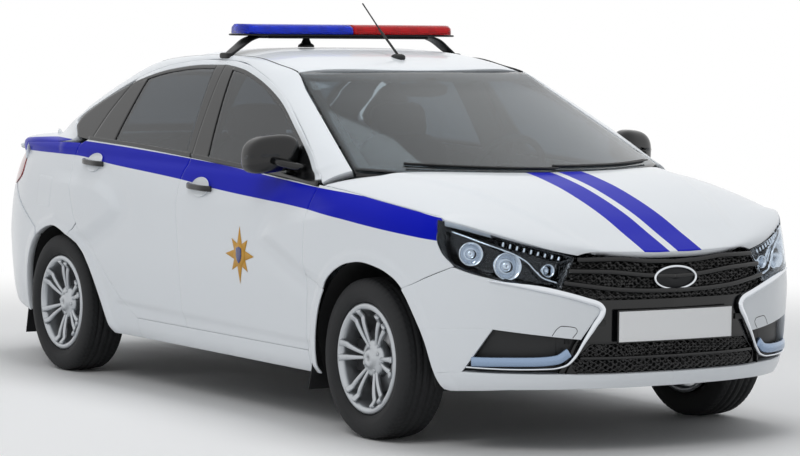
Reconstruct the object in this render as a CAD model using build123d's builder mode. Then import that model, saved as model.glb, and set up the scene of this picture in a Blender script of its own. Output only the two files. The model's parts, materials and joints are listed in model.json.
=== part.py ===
from build123d import *
import math
import os

# Police patrol car: a four-door saloon with a steel monocoque body.
# Millimetres, +X forward, +Y to the car's left, +Z up.
# The origin is on the ground, below the middle of the car's length.

# Overall sizes
LENGTH = 4410.0
WIDTH = 1764.0
ROOF_Z = 1470.0
WHEELBASE = 2635.0
FRONT_OVERHANG = 840.0
TRACK = 1510.0

# Wheels
TYRE_R = 308.0
TYRE_W = 195.0
TYRE_SHOULDER = 26.0
RIM_SEAT_R = 203.0
RIM_LIP_R = 214.0
RIM_WALL = 7.0
RIM_FACE_IN = 14.0
SPOKE_PAIRS = 6
SPOKE_SPLIT_DEG = 17.0
SPOKE_W = 24.0
SPOKE_T = 18.0
HUB_R = 72.0
DISC_R = 140.0
DISC_T = 22.0
ARCH_R = 368.0
REAR_ARCH_R = 358.0
LINER_R = 384.0
LINER_T = 4.0

# Body walls and gaps
PANEL_GAP = 6.0
SKIN = 25.0
DOOR_INNER_Y = 746.0
DOOR_FRAME_T = 45.0
DOOR_REBATE = 16.0
RING_OUTER_Y = 738.0
RING_FRAME_T = 53.0
RING_INNER_Y = 680.0
PILLAR_T = 92.0
GLASS_SET = 5.0
GLASS_T = 5.0
GLASS_CLEAR = 0.3
SEAT_GAP = 0.3
LAMP_DEPTH = 80.0

# Joints
STEER_BALL_Y = 700.0
STEER_BALL_Z = 220.0
STRUT_TOP_Y = 550.0
STRUT_TOP_Z = 860.0
DOOR_HINGE_Y = 878.0
DOOR_HINGE_SET = 12.0
STEER_WHEEL_X = 520.0
STEER_WHEEL_Y = 360.0
STEER_WHEEL_Z = 935.0
STEER_WHEEL_R = 185.0
STEER_WHEEL_TILT = 25.0
STEER_BOSS_END = 54.0

# Light bar, aerial and plates
BAR_X = -220.0
BAR_L = 1040.0
BAR_D = 190.0
BAR_Z = 1520.0
BAR_H = 50.0
BAR_CHAMFER = 45.0
LEG_TOP_Y = 405.0
MID_FOOT_Y = -185.0
AERIAL_X = 240.0
AERIAL_R = 3.5
AERIAL_TIP_X = -60.0
AERIAL_TIP_Z = 1664.0
PLATE_W = 520.0
PLATE_H = 112.0
PLATE_T = 8.0
PLATE_Z = 476.0

# Worked-out places
NOSE_X = LENGTH / 2
TAIL_X = -LENGTH / 2
HALF_W = WIDTH / 2
FRONT_AXLE_X = NOSE_X - FRONT_OVERHANG
REAR_AXLE_X = FRONT_AXLE_X - WHEELBASE
WHEEL_Y = TRACK / 2
ARCH_X = FRONT_AXLE_X + 13.0
BUMPER_FRONT_X = NOSE_X - PLATE_T
BUMPER_REAR_X = TAIL_X + PLATE_T

# Body stations along X. Columns: x, then height and inset from the half width
# of the floor edge, lower side, waist, shoulder and top edge, then crown height
STATIONS = [
    (BUMPER_REAR_X, 330, 462, 380, 400, 560, 400, 620, 420, 650, 460, 652),
    (TAIL_X + 105, 260, 242, 350, 212, 600, 202, 900, 282, 1025, 342, 1035),
    (TAIL_X + 255, 240, 137, 350, 112, 600, 102, 930, 147, 1030, 222, 1045),
    (TAIL_X + 455, 225, 87, 350, 60, 600, 47, 940, 87, 1040, 157, 1058),
    (TAIL_X + 705, 215, 62, 350, 32, 600, 14, 950, 52, 1052, 117, 1065),
    (REAR_AXLE_X + 174, 215, 52, 350, 20, 600, 2, 955, 40, 1048, 90, 1050),
    (-100.0, 215, 49, 350, 18, 600, 0, 940, 29, 1018, 68, 1030),
    (FRONT_AXLE_X - 365, 215, 49, 350, 18, 600, 0, 900, 20, 958, 40, 975),
    (FRONT_AXLE_X - 255, 215, 49, 350, 19, 600, 0, 905, 22, 1000, 140, 1008),
    (FRONT_AXLE_X, 215, 50, 350, 20, 600, 2, 890, 22, 1008, 177, 1000),
    (NOSE_X - 505, 215, 62, 330, 37, 600, 34, 840, 57, 900, 182, 908),
    (NOSE_X - 365, 215, 112, 330, 90, 600, 92, 800, 107, 862, 192, 872),
    (NOSE_X - 245, 215, 202, 330, 174, 600, 182, 760, 212, 835, 322, 842),
    (NOSE_X - 125, 215, 342, 330, 292, 600, 322, 730, 382, 775, 442, 790),
    (NOSE_X - 40, 225, 552, 330, 512, 560, 522, 690, 532, 735, 552, 745),
    (BUMPER_FRONT_X, 300, 722, 360, 682, 520, 682, 590, 702, 620, 782, 622),
]

# Glasshouse levels. Columns: z, front middle x, front corner x and y, side front x,
# side y, side rear x, rear corner x and y, rear middle x
LEVELS = [
    (940, 1480, 1180, 760, 1000, 830, -1300, -1700, 690, -1800),
    (1005, 1385, 1095, 740, 985, 817, -1300, -1690, 650, -1780),
    (1050, 1272, 1005, 719, 900, 795, -1290, -1640, 655, -1700),
    (1100, 1146, 904, 695, 800, 772, -1270, -1560, 652, -1610),
    (1200, 895, 704, 648, 600, 722, -1130, -1360, 632, -1415),
    (1300, 644, 503, 601, 400, 668, -900, -1150, 590, -1210),
    (1380, 443, 343, 560, 250, 618, -650, -955, 530, -1025),
    (1420, 290, 190, 515, 100, 583, -520, -770, 480, -840),
    (1450, 110, 30, 440, -40, 535, -420, -590, 400, -640),
    (ROOF_Z - 4, -40, -80, 330, -130, 430, -350, -440, 320, -480),
    (ROOF_Z, -120, -150, 200, -180, 300, -320, -360, 200, -380),
]
SIDE_MID_X = -150.0
WINDSCREEN_BOW = 0.36
SIDE_SHARE = 0.62

# Panel outlines in side view, x and z, drawn to the middle of the gap
B_LINE = [(-67, 300), (-78, 420), (-92, 686), (-114, 848), (-106, 925), (-85, 1002), (-170, 1418)]
FRONT_DOOR_TOP = [(140, 1376), (426, 1290), (658, 1180), (872, 1062), (1010, 962)]
FRONT_DOOR_FRONT = [(1008, 941), (974, 864), (978, 766), (976, 614), (968, 451), (938, 300)]
REAR_DOOR_BACK = [(-512, 300), (-625, 363), (-743, 454), (-883, 565), (-1015, 678), (-1088, 797),
                  (-1145, 906), (-1169, 987), (-1083, 1036)]
REAR_DOOR_TOP = [(-955, 1290), (-860, 1345), (-617, 1393), (-344, 1418)]
FRONT_WINDOW = [(56, 1030), (-80, 1374), (140, 1338), (426, 1252), (658, 1140), (800, 1062),
                (800, 985), (263, 1010)]
REAR_WINDOW = [(-130, 1040), (-228, 1378), (-344, 1380), (-617, 1355), (-795, 1316), (-840, 1072),
               (-591, 1050)]
QUARTER_WINDOW = [(-1100, 1064), (-1000, 1266), (-1123, 1210), (-1250, 1143), (-1278, 1120),
                  (-1195, 1068)]
HOOD_EDGE = [(1040, 950), (1252, 931), (1328, 922), (1850, 852), (2122, 737)]
LAMP_REAR_LOW = (1905, 695)
LAMP_FRONT_LOW = (2107, 611)
ARCH_TOP_GAP = (1639, 595)
SILL_FRONT = (942, 205)
REAR_BUMPER_TOP = [(-1493, 617), (-1841, 787), (-1891, 818)]
TAIL_LAMP = [(-1783, 929), (-1775, 855), (-1891, 822), (-2300, 792), (-2300, 975), (-1923, 965)]
TAIL_LAMP_INNER_Y = 495.0
FUEL_FLAP = [(-1305, 878), (-1367, 719), (-1538, 719), (-1510, 878)]

# Openings in the front view, y and z, right half from the middle outwards
UPPER_GRILLE = [(0, 765), (405, 765), (405, 735), (352, 600), (316, 575), (0, 572)]
LOWER_GRILLE = [(0, 413), (360, 413), (425, 330), (400, 305), (0, 303)]
FOG_RECESS = [(409, 433), (453, 338), (735, 334), (680, 469)]
WINDSCREEN = [(0, 1372), (548, 1372), (735, 1012), (0, 1007)]
BACKLIGHT = [(0, 1372), (488, 1372), (600, 1078), (0, 1072)]
ROOF_EDGE_Y = 555.0
ROOF_LOW_Z = 1372.3
LID_HALF_W = 585.0
LID_FRONT_X = -1668.0
LID_LOW_Z = 705.0
LID_STEP_Z = 985.0

RIGHT = -1
LEFT = 1


def finish(part, label):
    """Name a piece and write it as its own file."""
    part.label = label
    export_step(part, f"parts/{label}.step")
    print(label, round(part.volume / 1e6, 2), "litres")


def both_sides(part, label):
    """Write a piece made for the right side, and its mirror image for the left."""
    finish(part, f"{label}_right")
    finish(mirror(part, about=Plane.XZ), f"{label}_left")


def body_loft(inset):
    """Lower body between its stations, each section drawn inset from the skin."""
    with BuildPart() as body:
        for row in STATIONS:
            x = row[0]
            if row is STATIONS[0]:
                x += inset
            if row is STATIONS[-1]:
                x -= inset
            zs = [row[1] + inset, row[3], row[5], row[7], row[9] - inset]
            ys = [HALF_W - y - inset for y in row[2:11:2]]
            right = [(-y, z) for y, z in zip(ys, zs)]
            left = [(y, z) for y, z in zip(ys, zs)]
            crown = [(0, row[11] - inset)]
            with BuildSketch(Plane.YZ.offset(x)):
                with BuildLine():
                    Polyline(*right, *crown, *left[::-1], close=True)
                make_face()
        loft(ruled=True)
    return body.part


def glasshouse_loft(inset):
    """Roof and windows between their levels, lowered and narrowed by the wall's depth."""
    side_in = SIDE_SHARE * inset
    with BuildPart() as glasshouse:
        for z, fx, cx, cy, sx, sy, bx, rx, ry, mx in LEVELS:
            half = [
                (fx - WINDSCREEN_BOW * (fx - cx), 0.6 * (cy - side_in)),
                (cx, cy - side_in),
                (sx, sy - side_in),
                (SIDE_MID_X, sy + 3 - side_in),
                (bx, sy - side_in),
                (rx, ry - side_in),
                (mx - WINDSCREEN_BOW * (mx - rx), 0.6 * (ry - side_in)),
            ]
            right = [(x, -y) for x, y in half]
            with BuildSketch(Plane.XY.offset(z - inset)):
                with BuildLine():
                    Polyline((fx, 0), *half, (mx, 0), *right[::-1], close=True)
                make_face()
        loft(ruled=True)
    return glasshouse.part


def side_prism(outline, inner_y, outer_y, inset=0.0):
    """Block that stands out to the right of the car, with its outline in side view."""
    with BuildPart() as prism:
        with BuildSketch(Plane.XZ.offset(inner_y)):
            with BuildLine():
                Polyline(*outline, close=True)
            make_face()
            if inset:
                offset(amount=-inset, kind=Kind.INTERSECTION)
        extrude(amount=outer_y - inner_y)
    return prism.part


def front_prism(half_outline, low_x, high_x, inset=0.0):
    """Block along the car with a mirrored outline in front view."""
    with BuildPart() as prism:
        with BuildSketch(Plane.YZ.offset(low_x)):
            with BuildLine():
                other = [(-y, z) for y, z in half_outline[::-1] if y > 0]
                Polyline(*half_outline, *other, close=True)
            make_face()
            if inset:
                offset(amount=-inset, kind=Kind.INTERSECTION)
        extrude(amount=high_x - low_x)
    return prism.part


def slab(low, high):
    """Plain block between two corners, used as a region for cuts."""
    size = [b - a for a, b in zip(low, high)]
    return Pos(*low) * Box(*size, align=(Align.MIN, Align.MIN, Align.MIN))


def arch_cut(x, radius, inner_y):
    """Round wheel opening on the right side."""
    return side_cylinder(x, TYRE_R, radius, inner_y, HALF_W + 60)


def side_cylinder(x, z, radius, inner_y, outer_y):
    """Cylinder across the car on its right side."""
    with BuildPart() as cylinder:
        with BuildSketch(Plane.XZ.offset(inner_y)):
            with Locations((x, z)):
                Circle(radius)
        extrude(amount=outer_y - inner_y)
    return cylinder.part


os.makedirs("parts", exist_ok=True)

# Volumes that every panel is cut from
BODY = body_loft(0)
BODY_IN = body_loft(SKIN)
GLASSHOUSE = glasshouse_loft(0)
RIGHT_HALF = slab((-3000, -1200, 0), (3000, 0, 2000))
OUTER = BODY + GLASSHOUSE
OUTER_RIGHT = OUTER & RIGHT_HALF
SKIN_RIGHT = OUTER_RIGHT - BODY_IN - glasshouse_loft(SKIN / 2)
CABIN_BOX = slab((-1150, -DOOR_INNER_Y, 240), (1050, DOOR_INNER_Y, 1010))
DOOR_VOID = CABIN_BOX + glasshouse_loft(DOOR_FRAME_T)
DOOR_RIGHT = OUTER_RIGHT - DOOR_VOID

# Doors
FRONT_DOOR = B_LINE + FRONT_DOOR_TOP + FRONT_DOOR_FRONT
REAR_DOOR = REAR_DOOR_BACK + REAR_DOOR_TOP + B_LINE[::-1]
FAR_Y = HALF_W + 100


def make_door(outline, window):
    """Door: a thin skin to the gap, and a thicker core set in all round."""
    skin = SKIN_RIGHT & side_prism(outline, 400, FAR_Y, PANEL_GAP / 2)
    core = DOOR_RIGHT & side_prism(outline, 400, FAR_Y, PANEL_GAP / 2 + DOOR_REBATE)
    return (skin + core) - side_prism(window, 300, FAR_Y)


front_door = make_door(FRONT_DOOR, FRONT_WINDOW)
both_sides(front_door, "door_front")
rear_door = make_door(REAR_DOOR, REAR_WINDOW)
both_sides(rear_door, "door_rear")

# Glass
GLASS_SHELL = glasshouse_loft(GLASS_SET) - glasshouse_loft(GLASS_SET + GLASS_T)
GLASS_RIGHT = GLASS_SHELL & RIGHT_HALF
both_sides(GLASS_RIGHT & side_prism(FRONT_WINDOW, 300, FAR_Y), "glass_front_door")
both_sides(GLASS_RIGHT & side_prism(REAR_WINDOW, 300, FAR_Y), "glass_rear_door")
quarter_glass = GLASS_RIGHT & side_prism(QUARTER_WINDOW, 300, FAR_Y)
windscreen = GLASS_SHELL & front_prism(WINDSCREEN, 300, 1500)
backlight = GLASS_SHELL & front_prism(BACKLIGHT, -1800, -900)
finish(windscreen, "windscreen")
finish(Compound([backlight, quarter_glass, mirror(quarter_glass, about=Plane.XZ)]), "rear_glass")

# Body side: sill, pillars, roof rail and quarter panel
SIDE_LOW_KEEP_Y = 560.0
SIDE_HIGH_KEEP_Y = 470.0
SHELF_Z = 1010.0
APERTURE_IN = 45.0
HINGE_PILLAR_X = 985.0
BOOT_FRONT_X = -1150.0
# middles of the hinge leaves on the pillars, x and z
DOOR_HINGE_PADS = [(943, 730), (936, 470), (-123, 700), (-112, 460)]
HINGE_PAD_W = 20.0
HINGE_PAD_H = 60.0

ring_void = slab((BOOT_FRONT_X, -RING_INNER_Y, 0), (1050, RING_INNER_Y, SHELF_Z))
ring_void += glasshouse_loft(PILLAR_T)
rebate_void = slab((-3000, -RING_OUTER_Y, 0), (3000, RING_OUTER_Y, SHELF_Z))
rebate_void += glasshouse_loft(RING_FRAME_T) & slab((-3000, -1200, 900), (3000, 1200, 2000))
lid_top = slab((-3000, -LID_HALF_W, LID_STEP_Z), (LID_FRONT_X, LID_HALF_W, 1200))
lid_back = slab((-3000, -TAIL_LAMP_INNER_Y, LID_LOW_Z), (-1900, TAIL_LAMP_INNER_Y, LID_STEP_Z))
FENDER_FRONT = [HOOD_EDGE[3], LAMP_REAR_LOW, ARCH_TOP_GAP, (1640, 200)]
FENDER = [SILL_FRONT, *FRONT_DOOR_FRONT[::-1], *HOOD_EDGE[1:3], *FENDER_FRONT]
REAR_BUMPER = [(-1493, 200), *REAR_BUMPER_TOP, (-2300, 790), (-2300, 200)]
A_PILLAR_FOOT = [(HINGE_PILLAR_X, 100), (HINGE_PILLAR_X, 945), (1105, 1003), (1112, 1012), (3000, 1012),
                 (3000, 100)]
half_gap = PANEL_GAP / 2

side_keep = slab((-3000, -1200, 0), (3000, -SIDE_LOW_KEEP_Y, SHELF_Z))
side_keep += slab((-3000, -1200, SHELF_Z), (3000, -SIDE_HIGH_KEEP_Y, 2000))
side_cuts = [
    side_prism(FRONT_DOOR, 400, FAR_Y, -half_gap) - rebate_void,
    side_prism(REAR_DOOR, 400, FAR_Y, -half_gap) - rebate_void,
    side_prism(FRONT_DOOR, 300, FAR_Y, APERTURE_IN),
    side_prism(REAR_DOOR, 300, FAR_Y, APERTURE_IN),
    slab((-3000, -ROOF_EDGE_Y - half_gap, ROOF_LOW_Z - SEAT_GAP), (3000, 0, 2000)),
    front_prism(WINDSCREEN, 250, 1600),
    front_prism(BACKLIGHT, -1900, -850),
    side_prism(QUARTER_WINDOW, 300, FAR_Y),
    side_prism(A_PILLAR_FOOT, 0, FAR_Y),
    side_prism(FENDER, 0, FAR_Y, -half_gap),
    side_prism(REAR_BUMPER, 0, FAR_Y, -half_gap),
    side_prism(TAIL_LAMP, 0, FAR_Y, -half_gap),
    slab((-3000, -LID_HALF_W - half_gap, LID_STEP_Z - half_gap), (LID_FRONT_X + half_gap, 0, 1200)),
    slab((-3000, -SIDE_LOW_KEEP_Y - 60, 0), (-1500, 0, LID_STEP_Z)),
    slab((BOOT_FRONT_X - 900, -RING_INNER_Y, 100), (BOOT_FRONT_X, 0, 420)),
    arch_cut(REAR_AXLE_X, REAR_ARCH_R, 400),
    side_cylinder(REAR_AXLE_X, TYRE_R, LINER_R, 400, HALF_W - SKIN - 20),
]
side_blank = OUTER_RIGHT - ring_void
with BuildPart() as side_frame:
    add(side_blank)
    add(side_keep, mode=Mode.INTERSECT)
    for cutter in side_cuts:
        add(cutter, mode=Mode.SUBTRACT)
side_frame_part = side_frame.part
for x, z in DOOR_HINGE_PADS:
    low = (x - HINGE_PAD_W / 2, -DOOR_INNER_Y + SEAT_GAP, z - HINGE_PAD_H / 2)
    side_frame_part += slab(low, (x + HINGE_PAD_W / 2, -RING_OUTER_Y + 5, z + HINGE_PAD_H / 2))
both_sides(side_frame_part, "side_frame")

# Front wing
fender = (SKIN_RIGHT & side_prism(FENDER, 700, FAR_Y, half_gap)) - arch_cut(ARCH_X, ARCH_R, 300)
fender -= slab((0, -800, 0), (3000, 0, 300))
both_sides(fender, "fender_front")

# Roof panel
roof = (GLASSHOUSE - glasshouse_loft(SKIN)) & slab(
    (-3000, -ROOF_EDGE_Y, ROOF_LOW_Z), (3000, ROOF_EDGE_Y, 2000))
finish(roof, "roof_panel")

# Bonnet, with its rear edge along the foot of the windscreen
body_skin = BODY - BODY_IN
with BuildPart() as hood_plan:
    with BuildSketch(Plane.XY.offset(700)):
        with BuildLine():
            rear_corner = LEVELS[1][2] + PANEL_GAP
            rear_y = LEVELS[1][3]
            ThreePointArc((rear_corner, -rear_y), (LEVELS[1][1] + PANEL_GAP, 0), (rear_corner, rear_y))
            Polyline((rear_corner, rear_y), (rear_corner - 60, 900), (2400, 900), (2400, -900),
                     (rear_corner - 60, -900), (rear_corner, -rear_y))
        make_face()
    extrude(amount=500)
hood_side = HOOD_EDGE + [(2300, 737), (2300, 1200), (1040, 1200)]
with BuildPart() as hood_region:
    with BuildSketch(Plane.XZ.offset(-1000)):
        with BuildLine():
            Polyline(*hood_side, close=True)
        make_face()
        offset(amount=-half_gap, kind=Kind.INTERSECTION)
    extrude(amount=2000)
hood = body_skin & hood_region.part & hood_plan.part
finish(hood, "hood")

# Boot lid
lid = body_skin & (
    slab((-3000, -LID_HALF_W + half_gap, LID_STEP_Z + half_gap), (LID_FRONT_X, LID_HALF_W - half_gap, 1200))
    + slab((-3000, -TAIL_LAMP_INNER_Y + half_gap, LID_LOW_Z + half_gap),
           (-1900, TAIL_LAMP_INNER_Y - half_gap, 1000)))
finish(lid, "boot_lid")

# Lamps
lamp_shell = OUTER_RIGHT - body_loft(LAMP_DEPTH) - slab((-3000, -405, 0), (3000, 0, 2000))
HEADLAMP = [HOOD_EDGE[3], HOOD_EDGE[4], LAMP_FRONT_LOW, LAMP_REAR_LOW]
headlamp = lamp_shell & side_prism(HEADLAMP, 300, FAR_Y, SEAT_GAP - half_gap)
headlamp -= side_prism(hood_side, 300, FAR_Y, -half_gap)
finish(Compound([headlamp, mirror(headlamp, about=Plane.XZ)]), "headlamps")
tail_block = OUTER_RIGHT - body_loft(LAMP_DEPTH) - slab((-3000, -TAIL_LAMP_INNER_Y, 0), (3000, 0, 2000))
tail_lamp = tail_block & side_prism(TAIL_LAMP, 300, FAR_Y, SEAT_GAP - half_gap)
finish(Compound([tail_lamp, mirror(tail_lamp, about=Plane.XZ)]), "tail_lamps")

# Bumpers
FRONT_BUMPER = [(1640, 180), ARCH_TOP_GAP, LAMP_REAR_LOW, LAMP_FRONT_LOW, (2125, 734), (2300, 734),
                (2300, 180)]
with BuildPart() as front_region:
    with BuildSketch(Plane.XZ.offset(-1000)):
        with BuildLine():
            Polyline(*FRONT_BUMPER, close=True)
        make_face()
        offset(amount=-half_gap, kind=Kind.INTERSECTION)
    extrude(amount=2000)
fog_cut = front_prism([(y, z) for y, z in FOG_RECESS], 1700, 2300)
bumper_cuts = [
    front_prism(UPPER_GRILLE, 1900, 2300),
    front_prism(LOWER_GRILLE, 1900, 2300),
    fog_cut,
    mirror(fog_cut, about=Plane.XZ),
    arch_cut(ARCH_X, ARCH_R, 300),
    mirror(arch_cut(ARCH_X, ARCH_R, 300), about=Plane.XZ),
]
with BuildPart() as front_bumper:
    add(body_skin)
    add(front_region.part, mode=Mode.INTERSECT)
    for cutter in bumper_cuts:
        add(cutter, mode=Mode.SUBTRACT)
finish(front_bumper.part, "front_bumper")

with BuildPart() as rear_region:
    with BuildSketch(Plane.XZ.offset(-1000)):
        with BuildLine():
            Polyline(*REAR_BUMPER, close=True)
        make_face()
        offset(amount=-half_gap, kind=Kind.INTERSECTION)
    extrude(amount=2000)
bumper_cuts = [
    slab((-3000, -TAIL_LAMP_INNER_Y, LID_LOW_Z - half_gap), (0, TAIL_LAMP_INNER_Y, 1200)),
    slab((-2090, -770, 0), (0, 770, 300)),
    arch_cut(REAR_AXLE_X, REAR_ARCH_R, 300),
    mirror(arch_cut(REAR_AXLE_X, REAR_ARCH_R, 300), about=Plane.XZ),
]
with BuildPart() as rear_bumper:
    add(body_skin)
    add(rear_region.part, mode=Mode.INTERSECT)
    for cutter in bumper_cuts:
        add(cutter, mode=Mode.SUBTRACT)
finish(rear_bumper.part, "rear_bumper")

# Grilles, each a backing with level slats, and the fog lamp pockets
SLAT_T = 9.0
SLAT_PITCH = 33.0
GRILLE_SET = 18.0
GRILLE_BACK_T = 8.0


def nose_layer(front_set, back_set, outline):
    """Layer of the nose between two depths, inside an outline in front view."""
    layer = body_loft(front_set) - body_loft(back_set)
    return layer & front_prism(outline, 1700, 2300, GLASS_CLEAR)


GRILLE_INSERT = [(0, 728), (401, 728), *UPPER_GRILLE[3:]]
grille_back = nose_layer(GRILLE_SET, GRILLE_SET + GRILLE_BACK_T, GRILLE_INSERT)
grille_back += nose_layer(GRILLE_SET, GRILLE_SET + GRILLE_BACK_T, LOWER_GRILLE)
upper_slats = nose_layer(2, GRILLE_SET + 2, GRILLE_INSERT)
lower_slats = nose_layer(2, GRILLE_SET + 2, LOWER_GRILLE)
with BuildPart() as slat_bars:
    with Locations(*[(2100, 0, z) for z in (624, 624 + SLAT_PITCH * 1.15, 624 + SLAT_PITCH * 2.3, 357)]):
        Box(400, 900, SLAT_T)
slats = (upper_slats + lower_slats) & slat_bars.part
with BuildPart() as badge:
    with BuildSketch(Plane.YZ.offset(NOSE_X - 60)):
        with Locations((0, 649)):
            Circle(42)
    extrude(amount=46)
finish(grille_back + slats + badge.part, "grille")
fog_pocket = nose_layer(SKIN - 8, SKIN + 8, [(y, z) for y, z in FOG_RECESS])
finish(Compound([fog_pocket, mirror(fog_pocket, about=Plane.XZ)]), "fog_pockets")

# Wheels
RIM_HALF_W = TYRE_W / 2 - 8.5
with BuildPart() as tyre:
    with BuildSketch(Plane.YZ):
        with BuildLine():
            half_w = TYRE_W / 2
            bead_y = RIM_HALF_W - 6 - GLASS_CLEAR
            tread_y = half_w - TYRE_SHOULDER
            Polyline((-bead_y, RIM_SEAT_R + GLASS_CLEAR), (bead_y, RIM_SEAT_R + GLASS_CLEAR),
                     (bead_y, RIM_LIP_R + 1), (half_w - 8, RIM_LIP_R + 2), (half_w, TYRE_R - 55))
            ThreePointArc((half_w, TYRE_R - 55), (half_w - 7, TYRE_R - 20), (tread_y, TYRE_R - 2))
            Polyline((tread_y, TYRE_R - 2), (0, TYRE_R), (-tread_y, TYRE_R - 2))
            ThreePointArc((-tread_y, TYRE_R - 2), (-half_w + 7, TYRE_R - 20), (-half_w, TYRE_R - 55))
            Polyline((-half_w, TYRE_R - 55), (-half_w + 8, RIM_LIP_R + 2), (-bead_y, RIM_LIP_R + 1),
                     (-bead_y, RIM_SEAT_R + GLASS_CLEAR))
        make_face()
    revolve(axis=Axis.Y)

HUB_FACE = RIM_HALF_W - RIM_FACE_IN
STUB_R = 30.0
STUB_GAP = 0.4
STUB_END = HUB_FACE - 24.0
DISC_Y = -16.0
with BuildPart() as rim:
    with BuildSketch(Plane.YZ):
        with BuildLine():
            Polyline((-RIM_HALF_W, RIM_LIP_R), (-RIM_HALF_W, RIM_SEAT_R - RIM_WALL),
                     (RIM_HALF_W, RIM_SEAT_R - RIM_WALL), (RIM_HALF_W, RIM_LIP_R),
                     (RIM_HALF_W - 6, RIM_LIP_R), (RIM_HALF_W - 6, RIM_SEAT_R),
                     (-RIM_HALF_W + 6, RIM_SEAT_R), (-RIM_HALF_W + 6, RIM_LIP_R), close=True)
        make_face()
    revolve(axis=Axis.Y)
    # hub with a blind bore for the stub axle, and the brake disc on its hat
    with BuildSketch(Plane.XZ.offset(-DISC_Y + DISC_T / 2)):
        Circle(HUB_R)
    extrude(amount=-(HUB_FACE - DISC_Y + DISC_T / 2))
    with BuildSketch(Plane.XZ.offset(-DISC_Y + DISC_T / 2)):
        Circle(DISC_R)
    extrude(amount=-DISC_T)
    with BuildSketch(Plane.XZ.offset(-HUB_FACE + SPOKE_T)):
        with PolarLocations(0, SPOKE_PAIRS):
            for turn in (-SPOKE_SPLIT_DEG / 2, SPOKE_SPLIT_DEG / 2):
                with Locations(Rot(0, 0, turn)):
                    with Locations((HUB_R / 2 + RIM_SEAT_R / 2 - 4, 0)):
                        Rectangle(RIM_SEAT_R - HUB_R + 4, SPOKE_W)
    extrude(amount=-SPOKE_T)
    with BuildSketch(Plane.XZ.offset(-DISC_Y + DISC_T / 2)):
        Circle(STUB_R + STUB_GAP)
    extrude(amount=-(STUB_END + STUB_GAP - DISC_Y + DISC_T / 2), mode=Mode.SUBTRACT)

WHEELS = {"front_left": (FRONT_AXLE_X, LEFT), "front_right": (FRONT_AXLE_X, RIGHT),
          "rear_left": (REAR_AXLE_X, LEFT), "rear_right": (REAR_AXLE_X, RIGHT)}
for place, (wheel_x, side) in WHEELS.items():
    turn = Rot(0, 0, 0 if side == LEFT else 180)
    seat = Pos(wheel_x, side * WHEEL_Y, TYRE_R) * turn
    finish(tyre.part.moved(seat), f"tyre_{place}")
    finish(rim.part.moved(seat), f"rim_{place}")

# Floor, tunnel, bulkheads and boot floor
FLOOR_Z = 216.0
FLOOR_T = 14.0
FLOOR_HALF_W = RING_INNER_Y - GLASS_CLEAR
FIREWALL_X = 985.0
REAR_SEAT_X = -620.0
AXLE_FLOOR_Z = 440.0
BOOT_FLOOR_Z = 345.0
BOOT_REAR_X = -2070.0
BOOT_HALF_W = 556.0
TUNNEL_HALF_W = 120.0
DASH_LOW_Z = 930.0
TUNNEL_Z = 330.0
SPARE_R = 290.0
SPARE_X = -1790.0

with BuildPart() as underbody:
    with BuildSketch(Plane.XZ.offset(-FLOOR_HALF_W)):
        with BuildLine():
            # cabin floor, step under the rear seat, hump over the axle and boot floor
            top = [(FIREWALL_X, FLOOR_Z), (REAR_SEAT_X, FLOOR_Z), (REAR_SEAT_X - 60, 340),
                   (-1000, 340), (-1060, AXLE_FLOOR_Z), (-1480, AXLE_FLOOR_Z),
                   (-1520, BOOT_FLOOR_Z), (BOOT_REAR_X, BOOT_FLOOR_Z)]
            under = [(x, z + FLOOR_T) for x, z in top[::-1]]
            Polyline(*top, *under, close=True)
        make_face()
    extrude(amount=2 * FLOOR_HALF_W)
    # firewall, tunnel, seat bulkhead, rear panel and the spare wheel's well
    with BuildSketch(Plane.XY.offset(FLOOR_Z)):
        with Locations((FIREWALL_X - FLOOR_T / 2, 0)):
            Rectangle(FLOOR_T, 2 * FLOOR_HALF_W)
    extrude(amount=DASH_LOW_Z - FLOOR_Z)
    with BuildSketch(Plane.YZ.offset(REAR_SEAT_X - 90)):
        with BuildLine():
            Polyline((-TUNNEL_HALF_W, FLOOR_Z), (-TUNNEL_HALF_W + 30, TUNNEL_Z), (TUNNEL_HALF_W - 30, TUNNEL_Z),
                     (TUNNEL_HALF_W, FLOOR_Z), close=True)
        make_face()
    extrude(amount=FIREWALL_X - REAR_SEAT_X + 90)
    with BuildSketch(Plane.YZ.offset(REAR_SEAT_X - 100)):
        with BuildLine():
            Polyline((-TUNNEL_HALF_W + 16, FLOOR_Z - 1), (-TUNNEL_HALF_W + 42, TUNNEL_Z - 14),
                     (TUNNEL_HALF_W - 42, TUNNEL_Z - 14), (TUNNEL_HALF_W - 16, FLOOR_Z - 1), close=True)
        make_face()
    extrude(amount=FIREWALL_X - REAR_SEAT_X + 80, mode=Mode.SUBTRACT)
    with Locations((BOOT_FRONT_X - 15, 0, 713)):
        Box(16, 2 * BOOT_HALF_W, 546)
    with Locations((BOOT_REAR_X + 8, 0, 568)):
        Box(16, 2 * BOOT_HALF_W, 444)
    with Locations((SPARE_X, 0, 280)):
        Cylinder(SPARE_R, 150)
        Cylinder(SPARE_R - FLOOR_T, 150 - 2 * FLOOR_T, mode=Mode.SUBTRACT)
    # parcel shelf and the strip below the rear window
    with Locations((-1400, 0, 990)):
        Box(500, 2 * BOOT_HALF_W, 14)
wheel_clear = side_cylinder(REAR_AXLE_X, TYRE_R, LINER_R + 1, BOOT_HALF_W + 4, HALF_W)
front_clear = side_cylinder(ARCH_X, TYRE_R, LINER_R + 1, 496, HALF_W)
boot_over = slab((-3000, -1000, 700), (-2060, 1000, 1200))
underbody_part = underbody.part - wheel_clear - mirror(wheel_clear, about=Plane.XZ)
underbody_part = underbody_part - front_clear - mirror(front_clear, about=Plane.XZ) - boot_over
underbody_part -= slab((-3000, -1000, 0), (BOOT_FRONT_X, -BOOT_HALF_W, 2000))
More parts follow.
